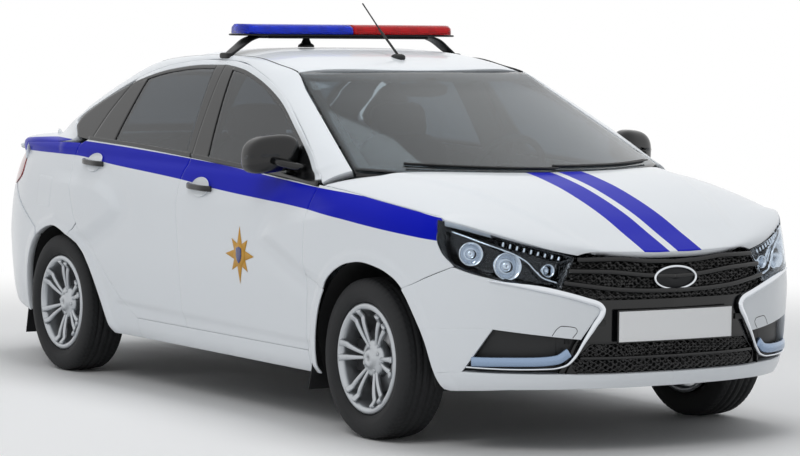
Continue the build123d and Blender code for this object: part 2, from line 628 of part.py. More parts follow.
underbody_part -= slab((-3000, BOOT_HALF_W, 0), (BOOT_FRONT_X, 1000, 2000))
with BuildPart() as brackets:
    # arms below the boot lid's hinges, and the carriers of the rear bumper
    with Locations((LID_FRONT_X - 15, -420, 1030), (LID_FRONT_X - 15, 420, 1030)):
        Box(90, 40, 94)
    with Locations((BOOT_REAR_X - 50, -330, 490), (BOOT_REAR_X - 50, 330, 490)):
        Box(140, 60, 20)
underbody_part += brackets.part & body_loft(SKIN + SEAT_GAP)
finish(underbody_part, "underbody")

# Engine bay structure: rails, strut towers, aprons, radiator and bumper beam
RAIL_Y = 430.0
UPPER_RAIL_Y = 695.0
UPPER_RAIL_Z = 800.0
UPPER_RAIL_END_X = 1780.0
APRON_Y = 474.0
with BuildPart() as front_frame:
    for side in (RIGHT, LEFT):
        with Locations((FIREWALL_X + SEAT_GAP, side * RAIL_Y, 390)):
            Box(2090 - FIREWALL_X - SEAT_GAP, 80, 120, align=(Align.MIN, Align.CENTER, Align.CENTER))
        # upper rail from the hinge pillar past the strut tower to the headlamp
        with Locations((HINGE_PILLAR_X + SEAT_GAP, side * UPPER_RAIL_Y, UPPER_RAIL_Z)):
            Box(UPPER_RAIL_END_X - HINGE_PILLAR_X, 50, 50, align=(Align.MIN, Align.CENTER, Align.CENTER))
    with Locations((1450, -APRON_Y, 560), (1450, APRON_Y, 560)):
        Box(860, 12, 320)
    with Locations((FRONT_AXLE_X, -550, 790), (FRONT_AXLE_X, 550, 790)):
        Box(220, 190, 170)
    with Locations((FRONT_AXLE_X, -575, 780), (FRONT_AXLE_X, 575, 780)):
        Box(180, 190, 170, mode=Mode.SUBTRACT)
    for x in (FRONT_AXLE_X - 100, FRONT_AXLE_X + 100):
        with Locations((x, -660, UPPER_RAIL_Z), (x, 660, UPPER_RAIL_Z)):
            Box(20, 80, 50)
    with Locations((2060, 0, 500)):
        Box(34, 780, 420)
    with Locations((2093, 0, 460)):
        Box(30, 880, 90)
with BuildPart() as tabs:
    for side in (RIGHT, LEFT):
        with Locations((1230, side * 800, UPPER_RAIL_Z), (1710, side * 800, UPPER_RAIL_Z)):
            Box(60, 200, 12)
        with Locations((2130, side * 330, 490)):
            Box(120, 60, 20)
front_frame_part = front_frame.part + (tabs.part & body_loft(SKIN + SEAT_GAP))
with BuildPart() as lamp_carriers:
    with Locations((1880, -670, 780), (1880, 670, 780)):
        Box(220, 70, 30)
carriers = lamp_carriers.part & body_loft(LAMP_DEPTH + SEAT_GAP)
front_frame_part += carriers - headlamp - mirror(headlamp, about=Plane.XZ)
finish(front_frame_part, "front_frame")

with BuildPart() as engine:
    with BuildSketch(Plane.XY.offset(300)):
        with Locations((1560, 0)):
            RectangleRounded(420, 640, 40)
    extrude(amount=470)
    with Locations((1560, 0, 470.4)):
        Box(80, 2 * RAIL_Y, 40)
finish(engine.part, "engine_block")

# Wheel arch liners
with BuildPart() as liner:
    with BuildSketch(Plane.XZ.offset(500)):
        with Locations((ARCH_X, TYRE_R)):
            Circle(LINER_R)
            Circle(LINER_R - LINER_T, mode=Mode.SUBTRACT)
    extrude(amount=HALF_W - SKIN - 12 - 500)
    with BuildSketch(Plane.XZ.offset(BOOT_HALF_W + 6)):
        with Locations((REAR_AXLE_X, TYRE_R)):
            Circle(LINER_R)
            Circle(LINER_R - LINER_T, mode=Mode.SUBTRACT)
    extrude(amount=HALF_W - SKIN - 22 - BOOT_HALF_W - 6)
    with BuildSketch(Plane.XZ.offset(BOOT_HALF_W + 6)):
        with Locations((REAR_AXLE_X, TYRE_R)):
            Circle(LINER_R)
    extrude(amount=LINER_T)
    with Locations((0, -700, 100), (-1500, -700, 230)):
        Box(3000, 900, 270, mode=Mode.SUBTRACT)
strut_hole = Plane(origin=(FRONT_AXLE_X, -STEER_BALL_Y, STEER_BALL_Z), x_dir=(1, 0, 0),
                   z_dir=(0, STEER_BALL_Y - STRUT_TOP_Y, STRUT_TOP_Z - STEER_BALL_Z))
with BuildPart() as strut_room:
    with BuildSketch(strut_hole):
        Circle(78)
    extrude(amount=700)
liners = (liner.part & body_loft(SKIN + 0.5)) - strut_room.part
finish(Compound([liners, mirror(liners, about=Plane.XZ)]), "wheel_liners")

# Front suspension: subframe with lower arms, and a knuckle with its strut on each side
ARM_T = 26.0
BALL_R = 16.0
BALL_GAP = 0.4
ARM_DROP = 22.0
with BuildPart() as subframe:
    with Locations((FRONT_AXLE_X + 20, 0, 222)):
        Box(170, 620, 56)
    for side in (RIGHT, LEFT):
        with BuildSketch(Plane.XY.offset(STEER_BALL_Z - ARM_DROP - ARM_T)):
            with BuildLine():
                Polyline((FRONT_AXLE_X + 95, side * 290), (FRONT_AXLE_X + 24, side * (STEER_BALL_Y + 14)),
                         (FRONT_AXLE_X - 24, side * (STEER_BALL_Y + 14)), (FRONT_AXLE_X - 190, side * 450),
                         (FRONT_AXLE_X - 190, side * 270), close=True)
            make_face()
        extrude(amount=ARM_T)
        with BuildSketch(Plane.XY.offset(STEER_BALL_Z - ARM_DROP - ARM_T)):
            with Locations((FRONT_AXLE_X - 150, side * (RAIL_Y - 10))):
                Circle(28)
        extrude(amount=330 - SEAT_GAP - (STEER_BALL_Z - ARM_DROP - ARM_T))
    with Locations((FRONT_AXLE_X - 120, 0, 300)):
        Box(60, 640, 60)
    with Locations((FRONT_AXLE_X - 120, -200, 262), (FRONT_AXLE_X - 120, 200, 262)):
        Box(50, 60, 40)
    with Locations((FRONT_AXLE_X - 60, -200, 240), (FRONT_AXLE_X - 60, 200, 240)):
        Box(150, 60, 20)
finish(subframe.part, "front_subframe")

strut_plane = Plane(origin=(FRONT_AXLE_X, -STEER_BALL_Y, STEER_BALL_Z), x_dir=(1, 0, 0),
                    z_dir=(0, STEER_BALL_Y - STRUT_TOP_Y, STRUT_TOP_Z - STEER_BALL_Z))
STRUT_LEN = math.hypot(STEER_BALL_Y - STRUT_TOP_Y, STRUT_TOP_Z - STEER_BALL_Z)
# the ball pin turns about the steering axis, its lowest edge BALL_GAP above the arm
STEER_LEAN = math.atan2(STEER_BALL_Y - STRUT_TOP_Y, STRUT_TOP_Z - STEER_BALL_Z)
PIN_DROP = (ARM_DROP - BALL_GAP - BALL_R * math.sin(STEER_LEAN)) / math.cos(STEER_LEAN)
with BuildPart() as knuckle:
    with BuildSketch(strut_plane.offset(-PIN_DROP)):
        Circle(BALL_R)
    extrude(amount=PIN_DROP + 22)
    with BuildSketch(Plane.XZ.offset(664)):
        with BuildLine():
            Polyline((FRONT_AXLE_X - 26, 222), (FRONT_AXLE_X + 26, 222), (FRONT_AXLE_X + 48, 308),
                     (FRONT_AXLE_X + 30, 430), (FRONT_AXLE_X - 30, 430), (FRONT_AXLE_X - 48, 308), close=True)
        make_face()
    extrude(amount=50)
    with BuildSketch(Plane.XZ.offset(690)):
        with Locations((FRONT_AXLE_X, TYRE_R)):
            Circle(STUB_R)
    extrude(amount=WHEEL_Y + STUB_END - 690)
    with BuildSketch(strut_plane.offset(170)):
        Circle(22)
    extrude(amount=STRUT_LEN - 170 - SEAT_GAP)
    with BuildSketch(strut_plane.offset(430)):
        Circle(62)
    extrude(amount=STRUT_LEN - 470)
    # brake caliper over the disc, carried by a bracket behind the axle
    with BuildSketch(Plane.XZ.offset(690)):
        with Locations((FRONT_AXLE_X - 120, TYRE_R)):
            Rectangle(75, 120)
        with Locations((FRONT_AXLE_X - 60, TYRE_R)):
            Rectangle(90, 50)
    extrude(amount=92)
    with BuildSketch(Plane.XZ.offset(WHEEL_Y + DISC_Y - DISC_T / 2 - 6)):
        with Locations((FRONT_AXLE_X, TYRE_R)):
            Circle(DISC_R + 6)
    extrude(amount=DISC_T + 12, mode=Mode.SUBTRACT)
    with BuildSketch(Plane.XZ.offset(WHEEL_Y + DISC_Y - DISC_T / 2 - 6)):
        with Locations((FRONT_AXLE_X, TYRE_R)):
            Circle(STUB_R)
    extrude(amount=DISC_T + 12)
    with BuildSketch(Plane.XZ.offset(WHEEL_Y + DISC_Y)):
        with Locations((FRONT_AXLE_X, TYRE_R)):
            Circle(HUB_R + 6)
            Circle(STUB_R, mode=Mode.SUBTRACT)
    extrude(amount=120, mode=Mode.SUBTRACT)
both_sides(knuckle.part, "knuckle")

# Rear axle: twist beam, trailing arms, springs and stub axles
BEAM_Z = 300.0
BEAM_X = -1090.0
with BuildPart() as rear_axle:
    with BuildSketch(Plane.XZ.offset(-520)):
        with Locations((BEAM_X, BEAM_Z)):
            Rectangle(90, 70)
    extrude(amount=1040)
    for side in (RIGHT, LEFT):
        with BuildSketch(Plane.XZ.offset(-side * 545 - 22)):
            with BuildLine():
                Polyline((-850, 300), (-850, 250), (REAR_AXLE_X - 60, 270), (REAR_AXLE_X - 60, 345),
                         (REAR_AXLE_X + 60, 345), (-1000, 320), close=True)
            make_face()
        extrude(amount=44)
        with BuildSketch(Plane.XZ.offset(-side * 560)):
            with Locations((REAR_AXLE_X, TYRE_R)):
                Circle(STUB_R)
        extrude(amount=-side * (WHEEL_Y + STUB_END - 560))
        with BuildSketch(Plane.XY.offset(335)):
            with Locations((REAR_AXLE_X + 100, side * 490)):
                Circle(52)
        extrude(amount=AXLE_FLOOR_Z - 335 - SEAT_GAP)
        with BuildSketch(Plane.XY.offset(300)):
            with Locations((REAR_AXLE_X + 100, side * 500)):
                Rectangle(120, 130)
        extrude(amount=36)
finish(rear_axle.part, "rear_axle")

# Exhaust and fuel tank
with BuildPart() as exhaust:
    with BuildLine() as pipe_line:
        FilletPolyline((930, 0, 225), (-560, 0, 225), (-700, 0, 255), (-1000, -330, 215), (-1400, -330, 215),
                       (-1720, -460, 262), radius=60)
    with BuildSketch(Plane(origin=(930, 0, 225), z_dir=(-1, 0, 0))):
        Circle(25)
    sweep(path=pipe_line.wire())
    with BuildSketch(Plane.YZ.offset(-2010)):
        with Locations((-470, 270)):
            RectangleRounded(250, 120, 55)
    extrude(amount=330)
    with BuildSketch(Plane.YZ.offset(-2080)):
        with Locations((-530, 262)):
            Circle(24)
    extrude(amount=90)
    # hangers to the tunnel and the boot floor
    with Locations((300, 0, 240)):
        Cylinder(6, TUNNEL_Z - 14 - SEAT_GAP - 240, align=(Align.CENTER, Align.CENTER, Align.MIN))
    with Locations((-1780, -470, 320), (-1930, -470, 320)):
        Cylinder(8, BOOT_FLOOR_Z - SEAT_GAP - 320, align=(Align.CENTER, Align.CENTER, Align.MIN))
finish(exhaust.part, "exhaust")

with BuildPart() as fuel_tank:
    with BuildSketch(Plane.XY.offset(212)):
        with Locations((-855, 270)):
            RectangleRounded(278, 430, 40)
    extrude(amount=340 - 212 - GLASS_CLEAR)
finish(fuel_tank.part, "fuel_tank")

# Mud flaps behind each wheel
FLAP_T = 7.0
FRONT_FLAP = [(ARCH_X - LINER_R + 0.2, 335), (ARCH_X - LINER_R - 0.8, 300), (940, 165)]
REAR_FLAP = [(REAR_AXLE_X - LINER_R + 9, 395), (REAR_AXLE_X - LINER_R + 2, 362), (-1690, 120)]
flaps = []
for outline, in_y, out_y in ((FRONT_FLAP, 690, 798), (REAR_FLAP, 650, 765)):
    flap = side_prism(outline + [(x - FLAP_T, z) for x, z in outline[::-1]], in_y, out_y)
    flaps += [flap, mirror(flap, about=Plane.XZ)]
finish(Compound(flaps), "mud_flaps")

# Cabin: dashboard with its column, steering wheel, seats
DASH_REAR_X = FIREWALL_X - FLOOR_T - SEAT_GAP
with BuildPart() as dash:
    with BuildSketch(Plane.XZ.offset(-640)):
        with BuildLine():
            Polyline((700, 890), (722, 950), (DASH_REAR_X, 962), (DASH_REAR_X, 640), (850, 610), (765, 690),
                     close=True)
        make_face()
    extrude(amount=1280)
shelf = glasshouse_loft(30) & slab((965, -630, DASH_LOW_Z), (1400, 630, 962))
column_plane = Plane(origin=(STEER_WHEEL_X, STEER_WHEEL_Y, STEER_WHEEL_Z), x_dir=(0, 1, 0),
                     z_dir=(math.cos(math.radians(STEER_WHEEL_TILT)), 0, -math.sin(math.radians(STEER_WHEEL_TILT))))
with BuildPart() as column:
    with BuildSketch(column_plane.offset(STEER_BOSS_END + SEAT_GAP)):
        Circle(42)
    extrude(amount=236)
# hinge pads below the bonnet's rear corners
with BuildPart() as hinge_pads:
    with Locations((1235, -600, 980), (1235, 600, 980)):
        Box(60, 50, 80)
pads = hinge_pads.part & body_loft(SKIN + SEAT_GAP)
finish(dash.part + shelf + column.part + pads, "dashboard")

with BuildPart() as steering_wheel:
    with BuildSketch(Plane.XZ):
        with Locations((STEER_WHEEL_R, 0)):
            Circle(15)
    revolve(axis=Axis.Z)
    Cylinder(52, 40)
    with BuildSketch(Plane.XY.offset(-9)):
        for angle in (0, 180, 270):
            with Locations(Rot(0, 0, angle)):
                with Locations((STEER_WHEEL_R / 2 + 12, 0)):
                    Rectangle(STEER_WHEEL_R - 36, 38)
    extrude(amount=18)
    with Locations((0, 0, STEER_BOSS_END)):
        Cylinder(28, 40, align=(Align.CENTER, Align.CENTER, Align.MAX))
wheel_seat = Plane(origin=column_plane.origin, x_dir=(0, 1, 0), z_dir=column_plane.z_dir)
finish(steering_wheel.part.moved(wheel_seat.location), "steering_wheel")

SEAT_Y = 360.0
SEAT_BASE_Z = 400.0
seats = []
for side in (RIGHT, LEFT):
    with BuildPart() as seat:
        with BuildSketch(Plane.XZ.offset(-side * SEAT_Y - 250)):
            with BuildLine():
                Polyline((250, 420), (240, 560), (-190, 530), (-240, 520), (-430, 1070), (-540, 1075),
                         (-400, 560), (-330, 400), (200, 380), close=True)
            make_face()
        extrude(amount=500)
        chamfer(seat.edges().filter_by(Axis.Y).group_by(Axis.Z)[-1], 20)
        with BuildSketch(Plane.XZ.offset(-side * SEAT_Y - 130)):
            with BuildLine():
                Polyline((-455, 1105), (-520, 1250), (-600, 1250), (-560, 1105), close=True)
            make_face()
        extrude(amount=260)
        with Locations((-505, side * SEAT_Y - 60, 1090), (-505, side * SEAT_Y + 60, 1090)):
            Cylinder(8, 60)
        rail_low = FLOOR_Z + FLOOR_T + GLASS_CLEAR
        with Locations((-40, side * SEAT_Y - 180, rail_low), (-40, side * SEAT_Y + 180, rail_low)):
            Box(420, 30, SEAT_BASE_Z - rail_low, align=(Align.CENTER, Align.CENTER, Align.MIN))
    seats.append(seat.part)
finish(Compound(seats), "front_seats")

with BuildPart() as rear_seat:
    with BuildSketch(Plane.XZ.offset(-550)):
        with BuildLine():
            Polyline((-520, 340 + FLOOR_T + SEAT_GAP), (-500, 500), (-960, 470), (-1060, 980), (-1150, 980), (-1150, 460), (-1056, 460),
                     (-990, 340 + FLOOR_T + SEAT_GAP), close=True)
        make_face()
    extrude(amount=1100)
    with Locations((-1100, -330, 1040), (-1100, 330, 1040)):
        Box(60, 240, 130)
finish(rear_seat.part, "rear_seat")

# Door mirrors
MIRROR_Z = 1050.0
MIRROR_H = 128.0
with BuildPart() as mirror_right:
    with BuildSketch(Plane.XY.offset(MIRROR_Z - MIRROR_H / 2)):
        with BuildLine():
            FilletPolyline((800, -845), (745, -970), (690, -990), (600, -990), (575, -960), (650, -845),
                           radius=12, close=True)
        make_face()
    extrude(amount=MIRROR_H)
    fillet(mirror_right.edges().group_by(Axis.Z)[-1] + mirror_right.edges().group_by(Axis.Z)[0], 10)
    with BuildSketch(Plane.XY.offset(MIRROR_Z - MIRROR_H / 2 + 2)):
        with BuildLine():
            Polyline((870, -780), (880, -845), (760, -880), (720, -860), (800, -780), close=True)
        make_face()
    extrude(amount=36)
both_sides(mirror_right.part - GLASSHOUSE - BODY, "door_mirror")

# Roof light bar on its rack
for side, colour in ((RIGHT, "blue"), (LEFT, "red")):
    with BuildPart() as lamp_half:
        with BuildSketch(Plane.XY.offset(BAR_Z)):
            with BuildLine():
                end = side * BAR_L / 2
                Polyline((BAR_X - BAR_D / 2, 0), (BAR_X - BAR_D / 2, end - side * BAR_CHAMFER),
                         (BAR_X - BAR_D / 2 + BAR_CHAMFER, end), (BAR_X + BAR_D / 2 - BAR_CHAMFER, end),
                         (BAR_X + BAR_D / 2, end - side * BAR_CHAMFER), (BAR_X + BAR_D / 2, 0), close=True)
            make_face()
        extrude(amount=BAR_H)
    finish(lamp_half.part, f"light_bar_{colour}")
RACK_T = 12.0
RACK_D = 44.0
with BuildPart() as rack:
    with Locations((BAR_X, 0, BAR_Z - RACK_T / 2)):
        Box(RACK_D + 30, 2 * LEG_TOP_Y + 60, RACK_T)
    for side in (RIGHT, LEFT):
        with BuildSketch(Plane.YZ.offset(BAR_X - RACK_D / 2)):
            with BuildLine():
                Polyline((side * 380, BAR_Z - RACK_T), (side * 435, BAR_Z - RACK_T), (side * 520, 1478), (side * 572, 1468),
                         (side * 584, 1430), (side * 562, 1430), (side * 540, 1440), (side * 500, 1456), close=True)
            make_face()
        extrude(amount=RACK_D)
    with BuildSketch(Plane.YZ.offset(BAR_X - RACK_D / 2)):
        with BuildLine():
            Polyline((MID_FOOT_Y - 14, BAR_Z - RACK_T), (MID_FOOT_Y + 14, BAR_Z - RACK_T), (MID_FOOT_Y + 14, 1490),
                     (MID_FOOT_Y + 40, 1466), (MID_FOOT_Y - 40, 1466), (MID_FOOT_Y - 14, 1490), close=True)
        make_face()
    extrude(amount=RACK_D)
finish(rack.part - GLASSHOUSE, "light_bar_rack")

# Aerial
with BuildPart() as aerial:
    with BuildSketch(Plane.XY.offset(1415)):
        with Locations((AERIAL_X, 0)):
            Ellipse(38, 17)
    extrude(amount=34, taper=14)
    rod_dir = Vector(AERIAL_TIP_X - AERIAL_X + 15, 0, AERIAL_TIP_Z - 1440)
    with BuildSketch(Plane(origin=(AERIAL_X - 15, 0, 1440), z_dir=rod_dir)):
        Circle(AERIAL_R)
    extrude(amount=rod_dir.length)
finish(aerial.part - GLASSHOUSE, "aerial")

# Wipers, lying on the glass
wiper_layer = glasshouse_loft(GLASS_SET - 11) - glasshouse_loft(GLASS_SET - SEAT_GAP)
with BuildPart() as wiper_bands:
    for low_y, high_y in ((-640, -60), (-20, 560)):
        with BuildSketch(Plane.YZ.offset(900)):
            with BuildLine():
                Polyline((low_y, 1022), (high_y, 1040), (high_y, 1054), (low_y, 1036), close=True)
            make_face()
        extrude(amount=600)
finish(wiper_layer & wiper_bands.part, "wipers")

# Number plates
with BuildPart() as plates:
    with Locations((NOSE_X - PLATE_T / 2, 0, PLATE_Z), (TAIL_X + PLATE_T / 2, 0, 520)):
        Box(PLATE_T, PLATE_W, PLATE_H)
finish(plates.part, "number_plates")
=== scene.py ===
import json
import math

import bpy
import numpy as np
from mathutils import Matrix, Vector

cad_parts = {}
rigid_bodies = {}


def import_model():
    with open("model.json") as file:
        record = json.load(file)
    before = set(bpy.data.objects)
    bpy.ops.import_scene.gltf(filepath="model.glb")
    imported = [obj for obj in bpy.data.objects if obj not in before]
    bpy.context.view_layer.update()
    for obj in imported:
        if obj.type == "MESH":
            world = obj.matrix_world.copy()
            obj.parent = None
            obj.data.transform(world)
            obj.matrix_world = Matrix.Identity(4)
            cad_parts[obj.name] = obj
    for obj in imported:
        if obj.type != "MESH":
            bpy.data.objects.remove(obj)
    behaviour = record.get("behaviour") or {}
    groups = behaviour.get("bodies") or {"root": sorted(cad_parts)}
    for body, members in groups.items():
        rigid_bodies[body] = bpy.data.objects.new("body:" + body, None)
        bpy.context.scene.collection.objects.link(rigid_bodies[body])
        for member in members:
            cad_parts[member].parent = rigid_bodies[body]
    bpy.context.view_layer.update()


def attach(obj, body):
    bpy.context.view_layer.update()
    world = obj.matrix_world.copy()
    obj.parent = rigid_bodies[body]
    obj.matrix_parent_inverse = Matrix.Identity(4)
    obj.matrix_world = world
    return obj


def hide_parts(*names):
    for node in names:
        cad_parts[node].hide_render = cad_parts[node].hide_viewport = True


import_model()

RIGHT = -1
LEFT = 1
SIDE_NAME = {RIGHT: "right", LEFT: "left"}

# Driving sizes in metres
WHEEL_X = {"front": 1.365, "rear": -1.27}
WHEEL_Y = 0.755
TYRE_R = 0.308
HALF_WIDTH = 0.882
# Gap round a panel, and the roll of its edge
GAP = 0.0022
EDGE = 0.0014
# Depths of the closed skins: wing, door, door's top strip, lids, other panels, panes
WING_SKIN = 0.006
DOOR_SKIN = 0.010
TOP_SKIN = 0.022
LID_SKIN = 0.025
PANEL = 0.03
PANE = 0.0035
PLATE_W = 0.520
PLATE_H = 0.112
PLATE_Z = 0.476
STRIPE_INNER_Y = 0.018
STRIPE_OUTER_Y = 0.133

# Body section: height against half width, at the widest part of the car
SECTION_Z = [0.19, 0.215, 0.26, 0.35, 0.48, 0.60, 0.72, 0.82, 0.90, 0.95, 1.00]
SECTION_Y = [0.800, 0.830, 0.850, 0.862, 0.874, 0.880, 0.882, 0.877, 0.862, 0.845, 0.820]
# How far the plan comes in from the full width towards the nose and the tail
NOSE_X = [1.00, 1.30, 1.50, 1.75, 1.86, 1.97, 2.06, 2.115, 2.15, 2.178, 2.190, 2.199]
NOSE_IN = [0.0, 0.002, 0.010, 0.046, 0.092, 0.172, 0.282, 0.382, 0.482, 0.600, 0.720, 0.900]
TAIL_X = [-2.199, -2.192, -2.17, -2.10, -2.00, -1.70, -1.30, -0.90]
TAIL_IN = [0.900, 0.62, 0.38, 0.210, 0.132, 0.048, 0.012, 0.0]
# How far the nose and the tail lean back with height
NOSE_BACK_Z = [0.19, 0.225, 0.29, 0.36, 0.56, 0.65, 0.75, 0.86, 1.00]
NOSE_BACK = [0.075, 0.040, 0.008, 0.0, 0.0, 0.012, 0.032, 0.055, 0.10]
TAIL_BACK_Z = [0.20, 0.28, 0.36, 0.58, 0.66, 0.80, 0.95, 1.03]
TAIL_BACK = [0.060, 0.015, 0.0, 0.0, 0.012, 0.042, 0.078, 0.105]
# Glasshouse levels: z, windscreen middle x, corner x and y, side front x, side y,
# side rear x, rear corner x and y, rear middle x
LEVELS = [
    (1.005, 1.385, 1.095, 0.740, 0.985, 0.817, -1.290, -1.690, 0.650, -1.780),
    (1.050, 1.272, 1.005, 0.719, 0.900, 0.795, -1.290, -1.640, 0.655, -1.700),
    (1.100, 1.146, 0.904, 0.695, 0.800, 0.772, -1.270, -1.560, 0.652, -1.610),
    (1.200, 0.895, 0.704, 0.648, 0.600, 0.722, -1.130, -1.360, 0.632, -1.415),
    (1.300, 0.644, 0.503, 0.601, 0.400, 0.668, -0.900, -1.150, 0.590, -1.210),
    (1.380, 0.443, 0.343, 0.560, 0.250, 0.618, -0.650, -0.955, 0.530, -1.025),
    (1.420, 0.290, 0.190, 0.530, 0.100, 0.583, -0.520, -0.770, 0.505, -0.840),
    (1.445, 0.140, 0.050, 0.505, -0.020, 0.545, -0.450, -0.620, 0.470, -0.680),
]
# Bonnet edge seen from the side, and the bonnet's middle line
HOOD_EDGE_X = [1.04, 1.252, 1.328, 1.60, 1.85, 1.95, 2.05, 2.122]
HOOD_EDGE_Z = [0.952, 0.933, 0.924, 0.892, 0.852, 0.822, 0.778, 0.737]
HOOD_MID_X = [1.05, 1.385, 1.58, 1.73, 1.90, 2.05, 2.12, 2.176]
HOOD_MID_Z = [1.035, 1.004, 0.966, 0.924, 0.865, 0.800, 0.770, 0.745]

made = {}
# Gaps of a patch at its low, right, high and left line
ALL_ROUND = (GAP, GAP, GAP, GAP)
NO_GAP = (0, 0, 0, 0)


def smooth(x, xs, ys):
    """Curve through points: cubic pieces, the slope at each point the harmonic mean of its two chords."""
    x = np.asarray(x, float)
    xs = np.asarray(xs, float)
    ys = np.asarray(ys, float)
    step = np.diff(xs)
    chord = np.diff(ys) / step
    slope = np.empty_like(ys)
    slope[0] = chord[0]
    slope[-1] = chord[-1]
    same = chord[1:] * chord[:-1] > 0
    total = np.where(same, chord[1:] + chord[:-1], 1.0)
    slope[1:-1] = np.where(same, 2 * chord[1:] * chord[:-1] / total, 0.0)
    i = np.clip(np.searchsorted(xs, x) - 1, 0, len(xs) - 2)
    t = np.clip((x - xs[i]) / step[i], 0, 1)
    h = step[i]
    return ((1 + 2 * t) * (1 - t) ** 2 * ys[i] + t * (1 - t) ** 2 * h * slope[i]
            + t * t * (3 - 2 * t) * ys[i + 1] + t * t * (t - 1) * h * slope[i + 1])


def places(*axes):
    """Places from their coordinates, each an array or one number, stretched to one shape."""
    return np.stack(np.broadcast_arrays(*axes), -1)


def ease(t):
    """Slow start and slow end: three t squared less two t cubed, held between 0 and 1."""
    t = np.clip(t, 0, 1)
    return t * t * (3 - 2 * t)


# Side surface as a table of half widths over x and z
TABLE_X = np.linspace(-2.2, 2.2, 441)
TABLE_Z = np.linspace(0.19, 1.445, 252)


def nose_back(z):
    """How far back the nose lies at a height."""
    return smooth(z, NOSE_BACK_Z, NOSE_BACK)


def tail_back(z):
    """How far forwards the tail lies at a height."""
    return smooth(z, TAIL_BACK_Z, TAIL_BACK)


def lower_width(x, z):
    """Half width below the windows: the section's width less the plan's taper at both ends."""
    width = smooth(z, SECTION_Z, SECTION_Y) - smooth(x + nose_back(z), NOSE_X, NOSE_IN)
    width = width - smooth(x - tail_back(z), TAIL_X, TAIL_IN)
    # the wing's top rolls in towards the bonnet edge
    edge = smooth(x, HOOD_EDGE_X, HOOD_EDGE_Z)
    roll = 0.05 * np.clip((z - edge + 0.10) / 0.10, 0, 1.3) ** 2
    wing = HALF_WIDTH - smooth(x + nose_back(z), NOSE_X, NOSE_IN) - roll
    wing = np.where(z < 0.72, width, wing)
    return width + (np.minimum(wing, HALF_WIDTH) - width) * ease((x - 0.95) / 0.25) * ease((z - 0.70) / 0.06)


def build_side_table():
    """Half widths over x and z: the section below the windows, the levels above, blended over 45 mm."""
    level_z = np.array([row[0] for row in LEVELS])
    columns = []
    for z in TABLE_Z:
        low = lower_width(TABLE_X, np.full_like(TABLE_X, z))
        corners = [float(smooth(z, level_z, [row[k] for row in LEVELS])) for k in range(2, 9)]
        cx, cy, sx, sy, bx, rx, ry = corners
        high = smooth(TABLE_X, [rx, bx, -0.15, sx, cx], [ry, sy, sy + 0.003, sy, cy])
        deck_half = np.interp(z, [1.005, 1.05, 1.10, 1.2], [0.822, 0.79, 0.60, 0.3])
        deck = deck_half - smooth(TABLE_X, TAIL_X, TAIL_IN)
        high = np.where(TABLE_X < -1.1, np.maximum(high, deck), high)
        share = ease((z - 0.960) / 0.045)
        columns.append(low * (1 - share) + high * share)
    return np.array(columns).T


SIDE_TABLE = build_side_table()


# Heights of the pressings and of the arch lip, and the width of a crease's dish
REAR_PRESS = 0.019
FRONT_PRESS = 0.017
CREASE_DISH = 0.003
DISH_W = 0.045
LIP_OUT = 0.009
REAR_CREASE = [(-2.00, 0.935), (-1.78, 0.925), (-1.30, 0.905), (-0.852, 0.889), (-0.678, 0.838),
               (-0.590, 0.760), (-0.704, 0.690), (-0.914, 0.610), (-1.10, 0.58), (-2.00, 0.45)]
FRONT_CREASE = [(1.60, 0.92), (1.30, 0.895), (0.959, 0.858), (0.788, 0.831), (0.671, 0.783), (0.615, 0.724),
                (0.786, 0.654), (1.002, 0.575), (1.12, 0.55), (1.60, 0.40)]


def signed_distance(x, z, line):
    """Distance to a polyline, positive on the side of its own ends' middle."""
    pts = np.array(line)
    shape = np.shape(x)
    q = places(np.ravel(x), np.ravel(z))
    best = np.full(len(q), 9.0)
    for a, b in zip(pts[:-1], pts[1:]):
        ab = b - a
        t = np.clip(((q - a) @ ab) / (ab @ ab), 0, 1)
        best = np.minimum(best, np.linalg.norm(q - a - t[:, None] * ab, axis=1))
    inside = np.zeros(len(q), bool)
    loop = list(map(tuple, pts)) + [tuple(pts[0])]
    for (x0, z0), (x1, z1) in zip(loop[:-1], loop[1:]):
        crosses = (z0 > q[:, 1]) != (z1 > q[:, 1])
        with np.errstate(divide="ignore", invalid="ignore"):
            at = (x1 - x0) * (q[:, 1] - z0) / (z1 - z0 + 1e-12) + x0
        inside ^= crosses & (q[:, 0] < at)
    return np.where(inside, best, -best).reshape(shape)


FRONT_ARCH = [(1.012, 0.19), (1.014, 0.26), (1.021, 0.334), (1.057, 0.459), (1.111, 0.553), (1.193, 0.630),
              (1.290, 0.667), (1.386, 0.678), (1.497, 0.665), (1.593, 0.633), (1.650, 0.590), (1.704, 0.513),
              (1.759, 0.406), (1.789, 0.289), (1.812, 0.20)]
REAR_ARCH = [(-1.665, 0.22), (-1.652, 0.33), (-1.625, 0.444), (-1.564, 0.540), (-1.449, 0.622),
             (-1.279, 0.657), (-1.099, 0.620), (-0.938, 0.520), (-0.825, 0.356), (-0.760, 0.22)]


def arch_lip(x, z):
    """Wheel arch flare: a rolled lip, 9 mm out at the arch, that fades between 28 and 58 mm off."""
    out = 0.0
    for outline in (FRONT_ARCH, REAR_ARCH):
        d = -signed_distance(x, z, outline)
        out = out + LIP_OUT * (1 - ease((d - 0.028) / 0.030)) * ease((z - 0.20) / 0.05)
    return out


